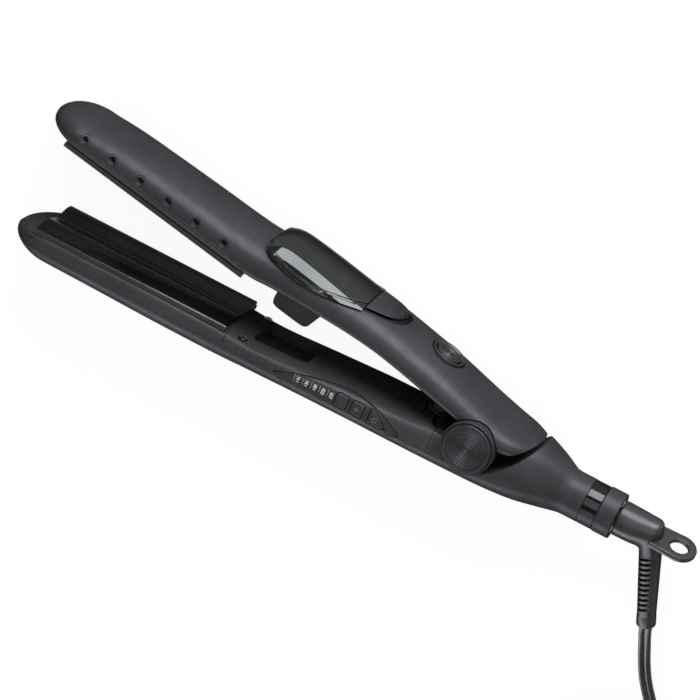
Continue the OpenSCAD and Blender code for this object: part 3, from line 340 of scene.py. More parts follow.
PANEL_BOTTOM = [(-94.4, -10.6), (-88, -14), (-75, -15.8), (-60, -15.6), (-45, -14.2), (-34, -12.5),
                (-31.1, -11.3)]


def spow(v, e):
    """Power that keeps the sign, for rounded squares."""
    return copysign(abs(v) ** e, v)


def share_at(x, tip, length):
    """Share of the full section at x, on the nose's quarter round."""
    if x >= tip + length:
        return 1.0
    if x <= tip:
        return 0.0
    return sqrt(1 - ((tip + length - x) / length) ** 2)


def section(r, x, share, a, b, n, inset=0.0, shift=0.0):
    """n + 1 points on a section between two angles, evenly spaced along it."""
    dense = 150
    pts = []
    for k in range(dense + 1):
        ang = radians(a + (b - a) * k / dense)
        s, c = sin(ang), cos(ang)
        h = max((r[2] if s >= 0 else r[3]) * share - inset, 0.15)
        e = 2 / (r[5] if s >= 0 else r[6])
        w = max(r[4] * share - inset, 0.15)
        pts.append((r[1] + shift + h * spow(s, e), HW + w * spow(c, e)))
    cum = [0.0]
    for k in range(dense):
        cum.append(cum[-1] + dist(pts[k], pts[k + 1]))
    out = []
    j = 0
    for k in range(n + 1):
        d = cum[-1] * k / n
        while j < dense - 1 and cum[j + 1] < d:
            j += 1
        t = 0 if cum[j + 1] == cum[j] else (d - cum[j]) / (cum[j + 1] - cum[j])
        y = pts[j][0] + (pts[j + 1][0] - pts[j][0]) * t
        z = pts[j][1] + (pts[j + 1][1] - pts[j][1]) * t
        out.append((x, y, z))
    return out


def stations(tip, last):
    """Places of an arm's rings: close together in the nose, then about 2.5 apart."""
    xs = [tip + NOSE * (1 - cos(radians(3 + k * 4.35))) for k in range(20)]
    n = int((last - tip - NOSE) / 2.5)
    return xs + [tip + NOSE + (last - tip - NOSE) * k / n for k in range(n + 1)]


def wrap(r):
    return 0 if r[7] < 1 else r[7]


def thin_loft(rows, xs, arc, shift, n=56):
    """Thin moulding. arc gives the two angles that it covers, for a row."""
    rings = []
    tip = rows[0][0] - NOSE
    for x in xs:
        r = row(rows, x)
        a, b = arc(r)
        outer = share_at(x, tip, NOSE)
        inner = min(share_at(x, tip + WALL, NOSE - WALL), outer)
        rings.append(section(r, x, outer, a, b, n, 0, shift(r))
                     + section(r, x, inner, a, b, n, WALL, shift(r))[::-1])
    return loft(rings, thin=True)


def full_loft(rows, xs, inset, n=80):
    """Solid of an arm's whole section, drawn in by inset."""
    tip = rows[0][0] - NOSE
    return loft([section(row(rows, x), x, share_at(x, tip, NOSE), 0, 360, n, inset)[:-1] for x in xs])


def lower_solid(x0, step, count, inset, n=80):
    """Length of the lower arm's solid, from x0 on."""
    return full_loft(LOWER, [x0 + k * step for k in range(count)], inset, n)


def above(c, x0, x1, lift=0.0, top=45, steps=40):
    """Prism of all that lies above a curve."""
    return prism(along(c, x0, x1, steps, lift) + [(x1, top), (x0, top)])


def panel_prism(grow):
    """Prism of the control panel's outline, through the near side only."""
    x0, x1, steps = PANEL_TOP[0][0], PANEL_TOP[-1][0], 48
    pts = []
    for c, sign in ((PANEL_TOP, 1), (PANEL_BOTTOM, -1)):
        for k in range(steps + 1)[::sign]:
            x = x0 + (x1 - x0) * k / steps
            e = -grow if k == 0 else grow if k == steps else 0
            pts.append((x + e, curve(c, x) + sign * grow))
    return prism(pts, PANEL_Z)


# ---- materials ----


def node(nt, kind, inputs=None, **settings):
    """Adds a shader node. An input is a value, or another node's output to link to it."""
    n = nt.nodes.new("ShaderNode" + kind)
    for k, v in settings.items():
        setattr(n, k, v)
    for k, v in (inputs or {}).items():
        if isinstance(v, bpy.types.NodeSocket):
            nt.links.new(v, n.inputs[k])
        else:
            n.inputs[k].default_value = v
    return n


def new_tree(owner):
    owner.use_nodes = True
    owner.node_tree.nodes.clear()
    return owner.node_tree


GRAIN_DEPTH = 0.00004


def material(name, color, rough, metal=0.0, spec=0.5, tint=None, grain=2600.0, grain_strength=0.25, vary=0.12,
             rough_vary=0.06, bevel_mm=0.3, wear=0.0, lines=None):
    """Moulded or machined surface with uneven colour, uneven gloss, a fine grain and softened edges."""
    m = bpy.data.materials.new(name)
    nt = new_tree(m)
    src = node(nt, "TexCoord").outputs["Object"]

    def noise(scale, detail, vector=src):
        return node(nt, "TexNoise", {"Scale": scale, "Detail": detail, "Vector": vector}).outputs["Fac"]

    def shade(k, add=0.0):
        return [min(c * k + add, 1) for c in color] + [1]

    ramp = node(nt, "ValToRGB", {"Fac": noise(38, 4)})
    for stop, at, k in zip(ramp.color_ramp.elements, (0.3, 0.7), (1 - vary, 1 + vary)):
        stop.position = at
        stop.color = shade(k)
    base = ramp.outputs["Color"]
    if wear:
        # a lighter tone along the edges
        worn = node(nt, "ValToRGB", {"Fac": node(nt, "NewGeometry").outputs["Pointiness"]})
        worn.color_ramp.elements[0].position = 0.56
        worn.color_ramp.elements[1].position = 0.66
        share = node(nt, "Math", {0: worn.outputs["Color"], 1: wear}, operation="MULTIPLY")
        base = node(nt, "Mix", {"Factor": share.outputs[0], "A": base, "B": shade(2.2, 0.02)},
                    data_type="RGBA").outputs["Result"]
    low, high = max(rough - rough_vary, 0.02), min(rough + rough_vary, 1)
    gloss = node(nt, "MapRange", {"Value": noise(210, 2), "From Min": 0.3, "From Max": 0.7, "To Min": low,
                                  "To Max": high})
    vector = node(nt, "Mapping", {"Vector": src, "Scale": lines}).outputs["Vector"] if lines else src
    bump = {"Strength": grain_strength, "Distance": GRAIN_DEPTH, "Height": noise(grain, 3, vector)}
    if bevel_mm:
        bump["Normal"] = node(nt, "Bevel", {"Radius": bevel_mm * MM}, samples=4).outputs["Normal"]
    inputs = {"Base Color": base, "Metallic": metal, "Specular IOR Level": spec,
              "Roughness": gloss.outputs["Result"], "Normal": node(nt, "Bump", bump).outputs["Normal"]}
    if tint is not None:
        inputs["Specular Tint"] = (tint, tint, tint, 1)
    surface = node(nt, "BsdfPrincipled", inputs)
    node(nt, "OutputMaterial", {"Surface": surface.outputs["BSDF"]})
    return m


# the slots' own materials, and then those of single pieces
M = {
    "soft_touch": material("soft_touch_black", (0.0385, 0.0379, 0.042), 0.4, metal=0.46, spec=0, tint=0.05,
                           wear=0.3),
    "inner_plastic": material("inner_black", (0.04, 0.0395, 0.0432), 0.4, metal=0.3, spec=0, tint=0.05,
                              grain=1900, wear=0.25),
    "gloss_black": material("gloss_black", (0.03, 0.032, 0.034), 0.06, metal=1.0, tint=0.4,
                            grain_strength=0.015, rough_vary=0.02, vary=0.1, bevel_mm=0.15),
    "tank_smoke": material("smoky_tank", (0.044, 0.0465, 0.0475), 0.045, metal=0.92, tint=0.3, spec=0.3,
                           grain_strength=0.01, rough_vary=0.01, vary=0.15, bevel_mm=0.2),
    "crimp_coating": material("crimp_coating", (0.02, 0.02, 0.021), 0.22, metal=0.85, tint=0.28, spec=0.2,
                              grain=1500, grain_strength=0.2, vary=0.2, bevel_mm=0.15, wear=0.25),
    "heater_ceramic": material("heater_ceramic", (0.62, 0.6, 0.55), 0.7, grain=1200),
    "mica": material("mica_sleeve", (0.42, 0.3, 0.1), 0.4, grain=900, vary=0.3),
    "board_green": material("board_green", (0.02, 0.1, 0.035), 0.45, vary=0.2),
    "white_mark": material("white_print", (0.45, 0.45, 0.46), 0.6, spec=0.2, vary=0.06, bevel_mm=0),
    "steel": material("steel", (0.5, 0.5, 0.52), 0.32, metal=1.0, grain=900, lines=(1, 1, 14), vary=0.08),
    "bright_pins": material("bright_pins", (0.66, 0.65, 0.62), 0.16, metal=1.0, grain=1400, vary=0.05),
    "brass": material("brass", (0.55, 0.38, 0.14), 0.3, metal=1.0, grain=1100, vary=0.15),
    "aluminium": material("alloy", (0.5, 0.5, 0.52), 0.42, metal=1.0, grain=1300, vary=0.1),
    "clear_plastic": material("natural_plastic", (0.62, 0.61, 0.57), 0.45, grain=1300),
    "seal_rubber": material("seal_rubber", (0.2, 0.035, 0.02), 0.6, grain=1500),
    "cord_rubber": material("cord_rubber", (0.013, 0.013, 0.014), 0.3, spec=0.4, grain=1700,
                            grain_strength=0.3, wear=0.2),
    "housing": material("housing_black", (0.055, 0.054, 0.059), 0.55, metal=0.2, spec=0, tint=0.1, grain=1700,
                        grain_strength=0.4),
    "panel": material("panel_black", (0.0385, 0.038, 0.042), 0.36, metal=0.44, spec=0, tint=0.1),
    "edge": material("plate_edge", (0.1, 0.1, 0.104), 0.2, metal=0.9, tint=0.4, grain_strength=0.05, vary=0.1,
                     bevel_mm=0),
    "faint": material("faint_print", (0.12, 0.12, 0.125), 0.6, spec=0.2, vary=0.06, bevel_mm=0),
    "lamp": material("unlit_lamp", (0.16, 0.16, 0.17), 0.25, vary=0.08, bevel_mm=0),
    "dark_steel": material("blackened_steel", (0.035, 0.035, 0.038), 0.3, metal=1.0, grain=900, vary=0.15),
    "dial": material("dial_black", (0.045, 0.0445, 0.049), 0.3, metal=0.6, spec=0, tint=0.2, grain=2400,
                     grain_strength=0.15, wear=0.35, bevel_mm=0.1),
    "boot": material("boot_rubber", (0.05, 0.0492, 0.0535), 0.3, metal=0.62, spec=0, tint=0.15, grain=2000,
                     wear=0.25),
}

# ---- mains lead ----

# the strain relief leaves the boot in a bend, in a plane turned about the neck
BEND, TURN = radians(74.5), radians(16)
BOOT_X0 = NECK_END + 0.6
ELBOW = Vector((BOOT_X0 + 16, NECK_Y, HW))
RELIEF_DIR = Vector((cos(BEND), -sin(BEND) * cos(TURN), -sin(BEND) * sin(TURN)))
RELIEF_LEN = 50.4
RELIEF_END = ELBOW + RELIEF_DIR * RELIEF_LEN
COIL = (110.0, -150.0)
LEAD_W, LEAD_T = 6.0, 3.0
PLUG = (94.0, -189.0, 6.9)


def catmull(pts, per):
    """Smooth curve through points."""
    out = []
    p = [pts[0] * 2 - pts[1]] + list(pts) + [pts[-1] * 2 - pts[-2]]
    for i in range(1, len(p) - 2):
        a, b, c, d = p[i - 1:i + 3]
        for t in (k / per for k in range(per)):
            out.append(0.5 * ((2 * b) + (c - a) * t + (2 * a - 5 * b + 4 * c - d) * t * t
                              + (3 * b - a - 3 * c + d) * t ** 3))
    out.append(p[-2])
    return out


def ease(t):
    t = min(max(t, 0), 1)
    return t * t * (3 - 2 * t)


def lead_path():
    """From the strain relief down to the table, round the coil and out to the plug."""
    hand = [RELIEF_END - RELIEF_DIR * 1.2, RELIEF_END + RELIEF_DIR * 2]
    hand += [Vector(p) for p in ((102, -58, 5.6), (104, -64, 4.2), (107, -72, 3.0), (111, -80, 2.6),
                                 (117, -88.5, 2.6), (124, -97, 2.6), (131, -105.5, 2.6), (137, -113.5, 2.6))]
    pts = catmull(hand, 5)
    start, turns = radians(40), 9 + 130 / 360
    # radius and height of each turn
    lay = [(39, 2.6), (33, 2.6), (27, 2.6), (27, 5.6), (33, 5.6), (39, 5.6), (39, 8.6), (33, 8.6), (33, 11.6),
           (39, 11.6)]
    steps = int(turns * 40)
    for k in range(1, steps + 1):
        t = turns * k / steps
        i = min(int(t), len(lay) - 1)
        f = ease((t - i) / (0.2 if i == len(lay) - 1 else 0.22 if i else 0.12))
        before = lay[i - 1] if i else (42.6, 2.6)
        r = before[0] + (lay[i][0] - before[0]) * f
        z = before[1] + (lay[i][1] - before[1]) * f
        if t > turns - 0.22:
            z += (PLUG[2] - z) * ease((t - turns + 0.22) / 0.2)
        a = start - 2 * pi * t
        pts.append(Vector((COIL[0] + r * cos(a), COIL[1] + r * sin(a), z)))
    return pts + [Vector((PLUG[0] + dx, PLUG[1], PLUG[2])) for dx in (8, -1)]


def twin_tube(path, width, thick, sides=24):
    """Flat twin flex along a path: two round cores side by side."""
    rings = []
    r = thick / 2
    off = width / 2 - r
    for i, p in enumerate(path):
        t = (path[min(i + 1, len(path) - 1)] - path[max(i - 1, 0)]).normalized()
        s = t.cross(Vector((0, 0, 1))).normalized()
        u = s.cross(t)
        ring = []
        for side in (1, -1):
            for k in range(sides // 2 + 1):
                a = radians(-152 + 304 * k / (sides // 2))
                ring.append(tuple(p + s * side * (off + r * cos(a)) + u * side * r * sin(a)))
        rings.append(ring)
    return loft(rings)


path = lead_path()
lead = piece("lead", twin_tube(path, LEAD_W, LEAD_T), None, "cord_rubber", angle=60)


def plug_shape():
    px, py, pz = PLUG
    # place from the lead's end, half width, half height and exponent
    stops = [(0, 3.4, 3.2, 2), (-2, 3.7, 3.5, 2), (-15, 5.2, 5.0, 2.2), (-18, 6.2, 5.6, 2.4),
             (-20, 9.5, 6.0, 2.8), (-24, 11.0, 6.3, 3.2), (-32, 11.4, 6.5, 3.4), (-40, 12.3, 6.7, 3.6),
             (-48, 12.9, 6.8, 4.2), (-50.6, 12.8, 6.75, 4.4), (-51.6, 12.2, 6.2, 4.4), (-52, 11.2, 5.4, 4.4)]
    rings = [[(px + x, py + w * spow(cos(a), 2 / e), pz + h * spow(sin(a), 2 / e)) for a in circle(48)]
             for x, w, h, e in stops]
    dense = [[tuple(a[j] + (b[j] - a[j]) * k / 3 for j in range(3)) for a, b in zip(r0, r1)]
             for r0, r1 in zip(rings, rings[1:]) for k in range(3)]
    # finger grooves on both flat faces
    grooves = [cylinder((px - 29 - k * 3.4, py - 7.5, z), (0, 1, 0), 0.75, 15, 24)
               for k in range(4) for z in (pz + 6.9, pz - 6.9)]
    return cut(loft(dense + [rings[-1]]), *grooves)


plug = piece("plug", plug_shape(), "lower_arm", "cord_rubber", "plug_body", angle=40)


def tie_shape():
    """Square band around one side of the coil."""
    cx, cy, cz = COIL[0] - 33, COIL[1], 7.05

    def loop(half_w, half_h):
        return [(cx + 0.1 + half_w * spow(cos(a), 0.45), cz + half_h * spow(sin(a), 0.45))
                for a in circle(48)]

    rings = []
    for y, g in ((-3, 0.25), (-2.7, 0), (2.7, 0), (3, 0.25)):
        rings.append([(cx + (p[0] - cx) * (1 - g / 12), cy + y, cz + (p[1] - cz) * (1 - g / 8))
                      for p in loop(10.1, 6.9)])
    rings += [[(p[0], cy + y, p[1]) for p in loop(9.4, 6.2)] for y in (3, -3)]
    return loft(rings + [rings[0]], caps=False)


tie = piece("tie", tie_shape(), "lower_arm", "cord_rubber", "lead_tie", angle=40)
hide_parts("mains_lead", "lead_coil")
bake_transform(lead)

# ---- lower arm ----

XL = stations(-LOWER_REACH, NECK_END)
SPLIT = -17.4                       # where the inner cover meets the rear shell
LOWER_PLATE_X, UPPER_PLATE_X, PLATE_LEN = -223.0, -227.0, 100.0
PLATE_HALF, TRAY_Y = 18.95, -6.25   # half the width of a plate's opening, and the lower one's floor
BLOCK_X = LOWER_PLATE_X + PLATE_LEN + 11.6      # where the steam chamber's well starts
WELL_LEN, WELL_FLOOR, WELL_Z0, WELL_Z1 = 27.6, -10.6, 4, 31.6
DECK_SCREWS = [(BLOCK_X - 3.2, z) for z in (36, 5)]
INLAY = (55.1, 62.2)
COLLAR = (62.45, NECK_END)


def longer_nose(me):
    """Draws the lower arm's nose out to its full reach."""
    for v in me.vertices:
        d = -225 - v.co.x / MM
        if d > 0:
            v.co.x -= 2.0 * (d / 10) ** 1.6 * MM
    return me


def neck_groove(x, half, r0, r1):
    """Ring to be cut from the neck around x."""
    return lathe([(r0, -half), (r1, -half), (r1, half), (r0, half)], closed=True,
                 place=lambda p: (x + p[2], NECK_Y + p[1], HW + p[0]))


# outer shell, with the window for the panel and two engraved lines around the neck
shell = thin_loft(LOWER, XL, lambda r: (180, 360), lambda r: -GAP / 2)
shell = cut(shell, panel_prism(WINDOW_GAP), *[neck_groove(x, 0.2, 10.15, 11.6) for x in (54.9, 62.2)])
piece("lower_shell", longer_nose(shell), "lower_arm", "soft_touch", "lower_outer_shell")


def cover_cuts():
    """Openings for the plate, the steam chamber, the hinge's side, the panel, two slits and the screws."""
    x0, x1 = LOWER_PLATE_X - 0.45, LOWER_PLATE_X + PLATE_LEN + 0.45
    return [box(x0, TRAY_Y, HW - PLATE_HALF, x1, 20, HW + PLATE_HALF),
            modify(box(BLOCK_X, WELL_FLOOR, WELL_Z0, BLOCK_X + WELL_LEN, 20, WELL_Z1), bevel(2.6, 5)),
            box(-28.4, -1.6, -2, -16, 30, 44),
            panel_prism(WINDOW_GAP),
            box(-121.9, -10.2, 33, -121.55, 4, 44),
            box(-121.9, -10.2, -3, -121.55, 4, 8),
            *[cylinder((x, -6.3, z), (0, 1, 0), SCREW_HOLE_R, 12, 40) for x, z in DECK_SCREWS]]


cover = thin_loft(LOWER, [x for x in XL if x < SPLIT - 0.4] + [SPLIT], lambda r: (0, 180), lambda r: GAP / 2)
well = box(BLOCK_X - 1.2, WELL_FLOOR - 1.4, WELL_Z0 - 1.6, BLOCK_X + WELL_LEN + 1.2, -6.5, WELL_Z1 + 1.6)
tray = box(LOWER_PLATE_X - 2, TRAY_Y - 0.9, 1.6, LOWER_PLATE_X + PLATE_LEN + 2, TRAY_Y, 39.4)
cover = fuse(cover, well, tray)
floor = meet(lower_solid(-28.4, 1.1, 11, WALL - 0.4), box(-28.4, -3.2, -2, SPLIT, -1.6, 44))
cover = fuse(cut(cover, *cover_cuts()), floor)
piece("lower_cover", longer_nose(cover), "lower_arm", "inner_plastic", "lower_inner_cover")


def rear_shell():
    """Shell behind the inner cover, with the cup that the upper arm turns in."""
    x0 = SPLIT + GAP
    rear = thin_loft(LOWER, [x0] + [x for x in XL if x > x0 + 0.5], lambda r: (0, 180), lambda r: GAP / 2)
    rear = cut(rear, box(SPLIT - 1, -1.6, -2, -0.4, 60, 44), above(CUP, -1, 29.8, top=60))
    band = along(CUP, -12, 29.8, 48)
    band += [(p[0], p[1] - 2) for p in band[::-1]]
    low = [(-16, -30)] + along(LOWER, -16, 34, 30, 0.2) + [(34, -30)]
    core = meet(lower_solid(x0, 1.5, 36, WALL - 0.35), prism(band))
    core_low = meet(lower_solid(x0, 1.5, 36, WALL + 0.1), prism(band))
    rear = fuse(rear, cut(core, prism(low)), core_low)
    step = meet(lower_solid(x0, 0.8, 8, WALL - 0.4), box(x0, -3.2, -2, -11.6, -1.6, 44))
    rear = fuse(rear, step)
    ears = [cylinder((0, 0, z), (0, 0, 1), HINGE_R + 0.1, 6.1, 128) for z in (-1, 35.9)]
    return cut(rear, *ears, neck_groove(58.65, 3.8, 9.6, 11.5))


piece("rear_shell", rear_shell(), "lower_arm", "soft_touch", "rear_cover")


def half_ring(x0, x1, r0, r1, a0, a1, edge=0.12):
    """Part of a ring around the neck, from angle a0 to a1 above the seam, with eased edges."""
    steps = 72
    prof = [(x0, r0), (x0, r1 - edge), (x0 + edge, r1), (x1 - edge, r1), (x1, r1 - edge), (x1, r0)]
    turns = [radians(a0 + (a1 - a0) * k / steps) for k in range(steps + 1)]
    return loft([[(x, NECK_Y + r * sin(a), HW + r * cos(a)) for x, r in prof] for a in turns])


piece("inlay", half_ring(*INLAY, 9.75, 10.52, 0.5, 179.5), "lower_arm", "gloss_black", "neck_inlay", angle=40)
for side, a0, a1 in (("upper", 0.6, 179.4), ("lower", 180.6, 359.4)):
    collar = half_ring(*COLLAR, 10.3, 10.85, a0, a1, 0.25)
    piece("collar_" + side, collar, "lower_arm", "soft_touch", angle=40)


def ear(z0, z1):
    """Disc of the hinge, with its lower edge cut level."""
    r, e = HINGE_R, 0.45
    prof = [(4.0, z0), (r - e, z0), (r - e * 0.3, z0 + e * 0.3), (r, z0 + e),
            (r, z1 - e), (r - e * 0.3, z1 - e * 0.3), (r - e, z1), (4.0, z1)]
    return meet(lathe(prof, 144, closed=True), box(-14, -8.6, -1, 14, 14, 42))


piece("ear_far", ear(0, 5), "lower_arm", "soft_touch")
piece("ear_near", ear(36, ARM_W), "lower_arm", "soft_touch", "hinge_ears")

# ---- wave plates ----


def wave_plate(x0, base, direction, place=None):
    """Crimping plate: a wave across its width, rounded edges and a flange below them."""
    width, pitch, thick, soft = 37.0, 23.0, 2.0, 0.8
    z0 = HW - width / 2
    ends = [0, 0.03, 0.08, 0.15, 0.24, 0.35, 0.48, 0.62, soft]
    across = ends + [1 + (width - 2) * k / 110 for k in range(111)] + [width - e for e in ends[::-1]]
    top = []
    for u in across:
        y = base + cos((u - 3.7) * 2 * pi / pitch)
        edge = min(u, width - u)
        if edge < soft:
            y -= direction * (soft - sqrt(max(soft * soft - (soft - edge) ** 2, 0)))
        top.append((z0 + u, y))
    low = base - direction * thick

    def side(z, sign, y):
        # from the rounded edge down to the flange
        return [(z - sign * 0.04, y - direction * 0.14), (z - sign * 0.6, y - direction * 0.26),
                (z - sign * 0.6, low + direction * 0.28), (z - sign * 0.06, low + direction * 0.22),
                (z, low + direction * 0.12), (z - sign * 0.06, low)]

    prof = top + side(z0 + width, 1, top[-1][1]) + side(z0, -1, top[0][1])[::-1]
    rings = []
    for x, drop in ((0, 0.35), (0.12, 0.12), (0.4, 0), (PLATE_LEN - 0.4, 0), (PLATE_LEN - 0.12, 0.12),
                    (PLATE_LEN, 0.35)):
        rings.append([(x0 + x, y - direction * drop, z) for z, y in prof[:len(top)]]
                     + [(x0 + x, y, z) for z, y in prof[len(top):]])
    return loft(rings, place=place)


def tray_rim(x0, y, direction, place=None):
    """Thin rim of the plate's tray along both long sides."""
    out = []
    for z0, z1 in ((1.72, 2.0), (39.0, 39.28)):
        e, low, soft = 0.13, y - direction * 2.2, y - direction * 0.13
        prof = [(z0, low), (z0, soft), (z0 + e, y), (z1 - e, y), (z1, soft), (z1, low)]
        rings = [[(x, p[1], p[0]) for p in prof] for x in (x0 - 0.3, x0 + PLATE_LEN + 0.3)]
        out.append(loft(rings, place=place))
    return join(out)


piece("lower_plate", wave_plate(LOWER_PLATE_X, -1.85, 1), "lower_arm", "crimp_coating", "lower_crimp_plate",
      angle=40)
piece("lower_rim", tray_rim(LOWER_PLATE_X, -3.05, 1), "lower_arm", "inner_plastic", mat="edge", angle=40)
piece("upper_rim", tray_rim(UPPER_PLATE_X, -1.1, -1, up), "upper_arm", "inner_plastic", mat="edge", angle=40)
piece("upper_plate", wave_plate(UPPER_PLATE_X, -0.65, -1, up), "upper_arm", "crimp_coating",
      "upper_crimp_plate", angle=40)

# ---- screws ----

ARM_SCREWS = [(BLOCK_X + d, z) for d, z in ((-5.1, 10), (-5.1, 31), (41.4, 12), (41.4, 29))]


def screw():
    """Screw with a cross slot, its head along Z."""
    head = lathe([(0, 0), (2.2, 0), (2.2, 0.6), (1.9, 1.0), (1.2, 1.25), (0, 1.3)], 48)
    head = cut(head, box(-1.3, -0.25, 0.5, 1.3, 0.25, 2), box(-0.25, -1.3, 0.5, 0.25, 1.3, 2))
    shank = lathe([(0, -7), (0.7, -6.5), (1.1, -5), (1.1, 0.1), (0, 0.1)], 24)
    return fuse(head, shank)


def arm_seat(x):
    """Height of the screws' seats in the upper arm's inner side."""
    return curve(UPPER, x) - row(UPPER, x)[3] + 0.9


def deck_screw(x, z):
    seat = curve(LOWER, x) + row(LOWER, x)[2] - 0.9
    return move(screw(), lambda p: (x + p[0], seat + p[2], z - p[1]))


def arm_screw(x, z):
    return move(screw(), lambda p: up((x + p[0], arm_seat(x) - p[2], z - p[1])))


piece("deck_screws", join([deck_screw(x, z) for x, z in DECK_SCREWS]), "lower_arm", "steel", "lower_screws",
      mat="dark_steel")
piece("arm_screws", join([arm_screw(x, z) for x, z in ARM_SCREWS]), "upper_arm", "steel", "upper_screws",
      mat="dark_steel")

# ---- control panel ----

KEY_X, KEY_Y, PITCH = -60.7, -8.6, 8.0
POWER_X, POWER_LEN = -46.6, 8.4
MARK_X, MARK_Y, MARK_PITCH, MARK_RISE = -84.6, -10.6, 4.2, 0.2


def side_z(x, y):
    """Height of the lower arm's near side at x and y."""
    r = row(LOWER, x)
    d = y - r[1]
    h, e = (r[2], r[5]) if d >= 0 else (r[3], r[6])
    k = min(abs(d) / h, 0.999)
    return HW + r[4] * (1 - k ** e) ** (1 / e)


def follow(outline, top, bottom, rim):
    """Key that follows the arm's side: it stands `top` proud, goes down to `bottom`, and has a soft rim."""
    n, rings_in = len(outline), 6
    cx, cy = sum(p[0] for p in outline) / n, sum(p[1] for p in outline) / n

    def at(inset, dz):
        out = []
        for p in outline:
            dx, dy = p[0] - cx, p[1] - cy
            k = max(hypot(dx, dy) - inset, 0) / hypot(dx, dy)
            x, y = cx + dx * k, cy + dy * k
            out.append((x, y, side_z(x, y) + dz))
        return out

    rings = [at(0, -bottom), at(0, top - rim), at(rim * 0.3, top - rim * 0.3), at(rim, top)]
    # the face: rings that shrink towards the centre
    for k in range(1, rings_in):
        s = 1 - k / rings_in
        inner = [(cx + (p[0] - cx) * s, cy + (p[1] - cy) * s) for p in rings[3]]
        rings.append([(x, y, side_z(x, y) + top) for x, y in inner])
    last = (len(rings) - 1) * n
    faces = [f for j in range(len(rings) - 1) for f in band_faces(j, n)]
    faces += [(last + i, last + (i + 1) % n, last + n) for i in range(n)] + [tuple(range(n))]
    return mesh_from([p for r in rings for p in r] + [(cx, cy, side_z(cx, cy) + top)], faces)


def key_outline(x, grow=0.0):
    w = 3.0 + grow
    h = w + 0.2
    return round_poly([(x - w, KEY_Y - h), (x + w, KEY_Y - h), (x + w, KEY_Y + h), (x - w, KEY_Y + h)],
                      1.3 + grow)


def power_outline(g=0.0):
    end = POWER_X + POWER_LEN + 1.4 * g
    return round_poly([(POWER_X - g, KEY_Y - 3.6 - g), (POWER_X + POWER_LEN * 0.7, KEY_Y - 3.7 - g),
                       (end, KEY_Y - 2.6 - g / 2), (end, KEY_Y - 2 + g / 2),
                       (POWER_X + POWER_LEN * 0.6, KEY_Y + 1 + g), (POWER_X + 1.4, KEY_Y + 3.4 + g),
                       (POWER_X - g, KEY_Y + 3.2 + g)], 0.8)


def bezel():
    """Skin of the panel, with windows for the three keys and slots for the lamps."""
    skin = cut(lower_solid(-95.6, 65.7 / 44, 45, -0.28, 120), lower_solid(-96.6, 67.7 / 44, 45, 1.5, 120))
    skin = meet(skin, panel_prism(0))
    holes = [key_outline(x, WINDOW_GAP) for x in (KEY_X, KEY_X + PITCH)] + [power_outline(WINDOW_GAP)]
    for x, y in ((MARK_X + k * MARK_PITCH, MARK_Y + k * MARK_RISE) for k in range(5)):
        x0, x1, y1 = x - 0.36, x + 0.36, y + 3.7
        holes.append(round_poly([(x0, y), (x1, y), (x1, y1), (x0, y1)], 0.3))
    return cut(skin, *[prism(hole, PANEL_Z) for hole in holes])


piece("panel", bezel(), "lower_arm", "soft_touch", "panel_bezel", mat="panel")
for key, outline in (("minus", key_outline(KEY_X)), ("plus", key_outline(KEY_X + PITCH)),
                     ("power", power_outline())):
    piece("key_" + key, follow(outline, 0.42, 3.4, 0.5), key + "_key", "inner_plastic", key + "_button",
          mat="panel", angle=34)


def print_mark(name, strokes, body, lift, width, mat="white_mark"):
    """Printed strokes, each a list of points in X and Y, laid on the arm's side."""
    verts, faces = [], []
    for pts in strokes:
        n, base = len(pts), len(verts)
        for i, p in enumerate(pts):
            a, b = pts[max(i - 1, 0)], pts[min(i + 1, n - 1)]
            d = Vector((b[0] - a[0], b[1] - a[1])).normalized()
            for half in (width / 2, -width / 2):
                x, y = p[0] - d.y * half, p[1] + d.x * half
                z = side_z(x, y) + lift
                verts += [(x, y, z), (x, y, z - 0.06)]
        for a in range(base, base + 4 * (n - 1), 4):
            b = a + 4
            faces += [(a, b, b + 2, a + 2), (a + 1, a + 3, b + 3, b + 1), (a, a + 1, b + 1, b),
                      (a + 2, b + 2, b + 3, a + 3)]
        faces += [(a, a + 2, a + 3, a + 1) for a in (base, base + 4 * (n - 1))]
    piece(name, mesh_from(verts, faces), body, "white_mark", mat=mat, angle=30)


SEGMENTS = {
    "1": [[(0.5, 0), (0.5, 1)]],
    "2": [[(0, 1), (1, 1), (1, 0.5), (0, 0.5), (0, 0), (1, 0)]],
    "4": [[(0, 1), (0, 0.45), (1, 0.45)], [(0.8, 1), (0.8, 0)]],
    "6": [[(1, 1), (0, 1), (0, 0), (1, 0), (1, 0.5), (0, 0.5)]],
    "8": [[(0, 0.5), (1, 0.5), (1, 1), (0, 1), (0, 0), (1, 0), (1, 0.5)]],
    "0": [[(0, 0), (1, 0), (1, 1), (0, 1), (0, 0)]],
}


def numeral(text, x, y, w, h, gap):
    """Plain numbers that read across the arm: x is the digits' foot, y the start of the line."""
    out = []
    for i, ch in enumerate(text):
        y0 = y + i * (w + gap)
        for s in SEGMENTS[ch]:
            pts = [(a + (c - a) * k / 3, b + (d - b) * k / 3)
                   for (a, b), (c, d) in zip(s, s[1:]) for k in range(3)]
            # the digit's width runs along +Y, its height along -X
            out.append([(x - q[1] * h, y0 + q[0] * w) for q in pts + [s[-1]]])
    return out


strokes = []
for k in range(5):
    strokes += numeral(str(140 + 20 * k), MARK_X + 2.65 + k * MARK_PITCH, MARK_Y + 0.3 + k * MARK_RISE,
                       0.8, 1.35, 0.5)
print_mark("scale_numbers", strokes, "lower_arm", 0.31, 0.27)


def key_sign(name, strokes, body, width=0.26):
    print_mark(name, strokes, body, 0.45, width, "faint")


def upright(x):
    return [(x, KEY_Y - 1.1), (x, KEY_Y + 1.1)]


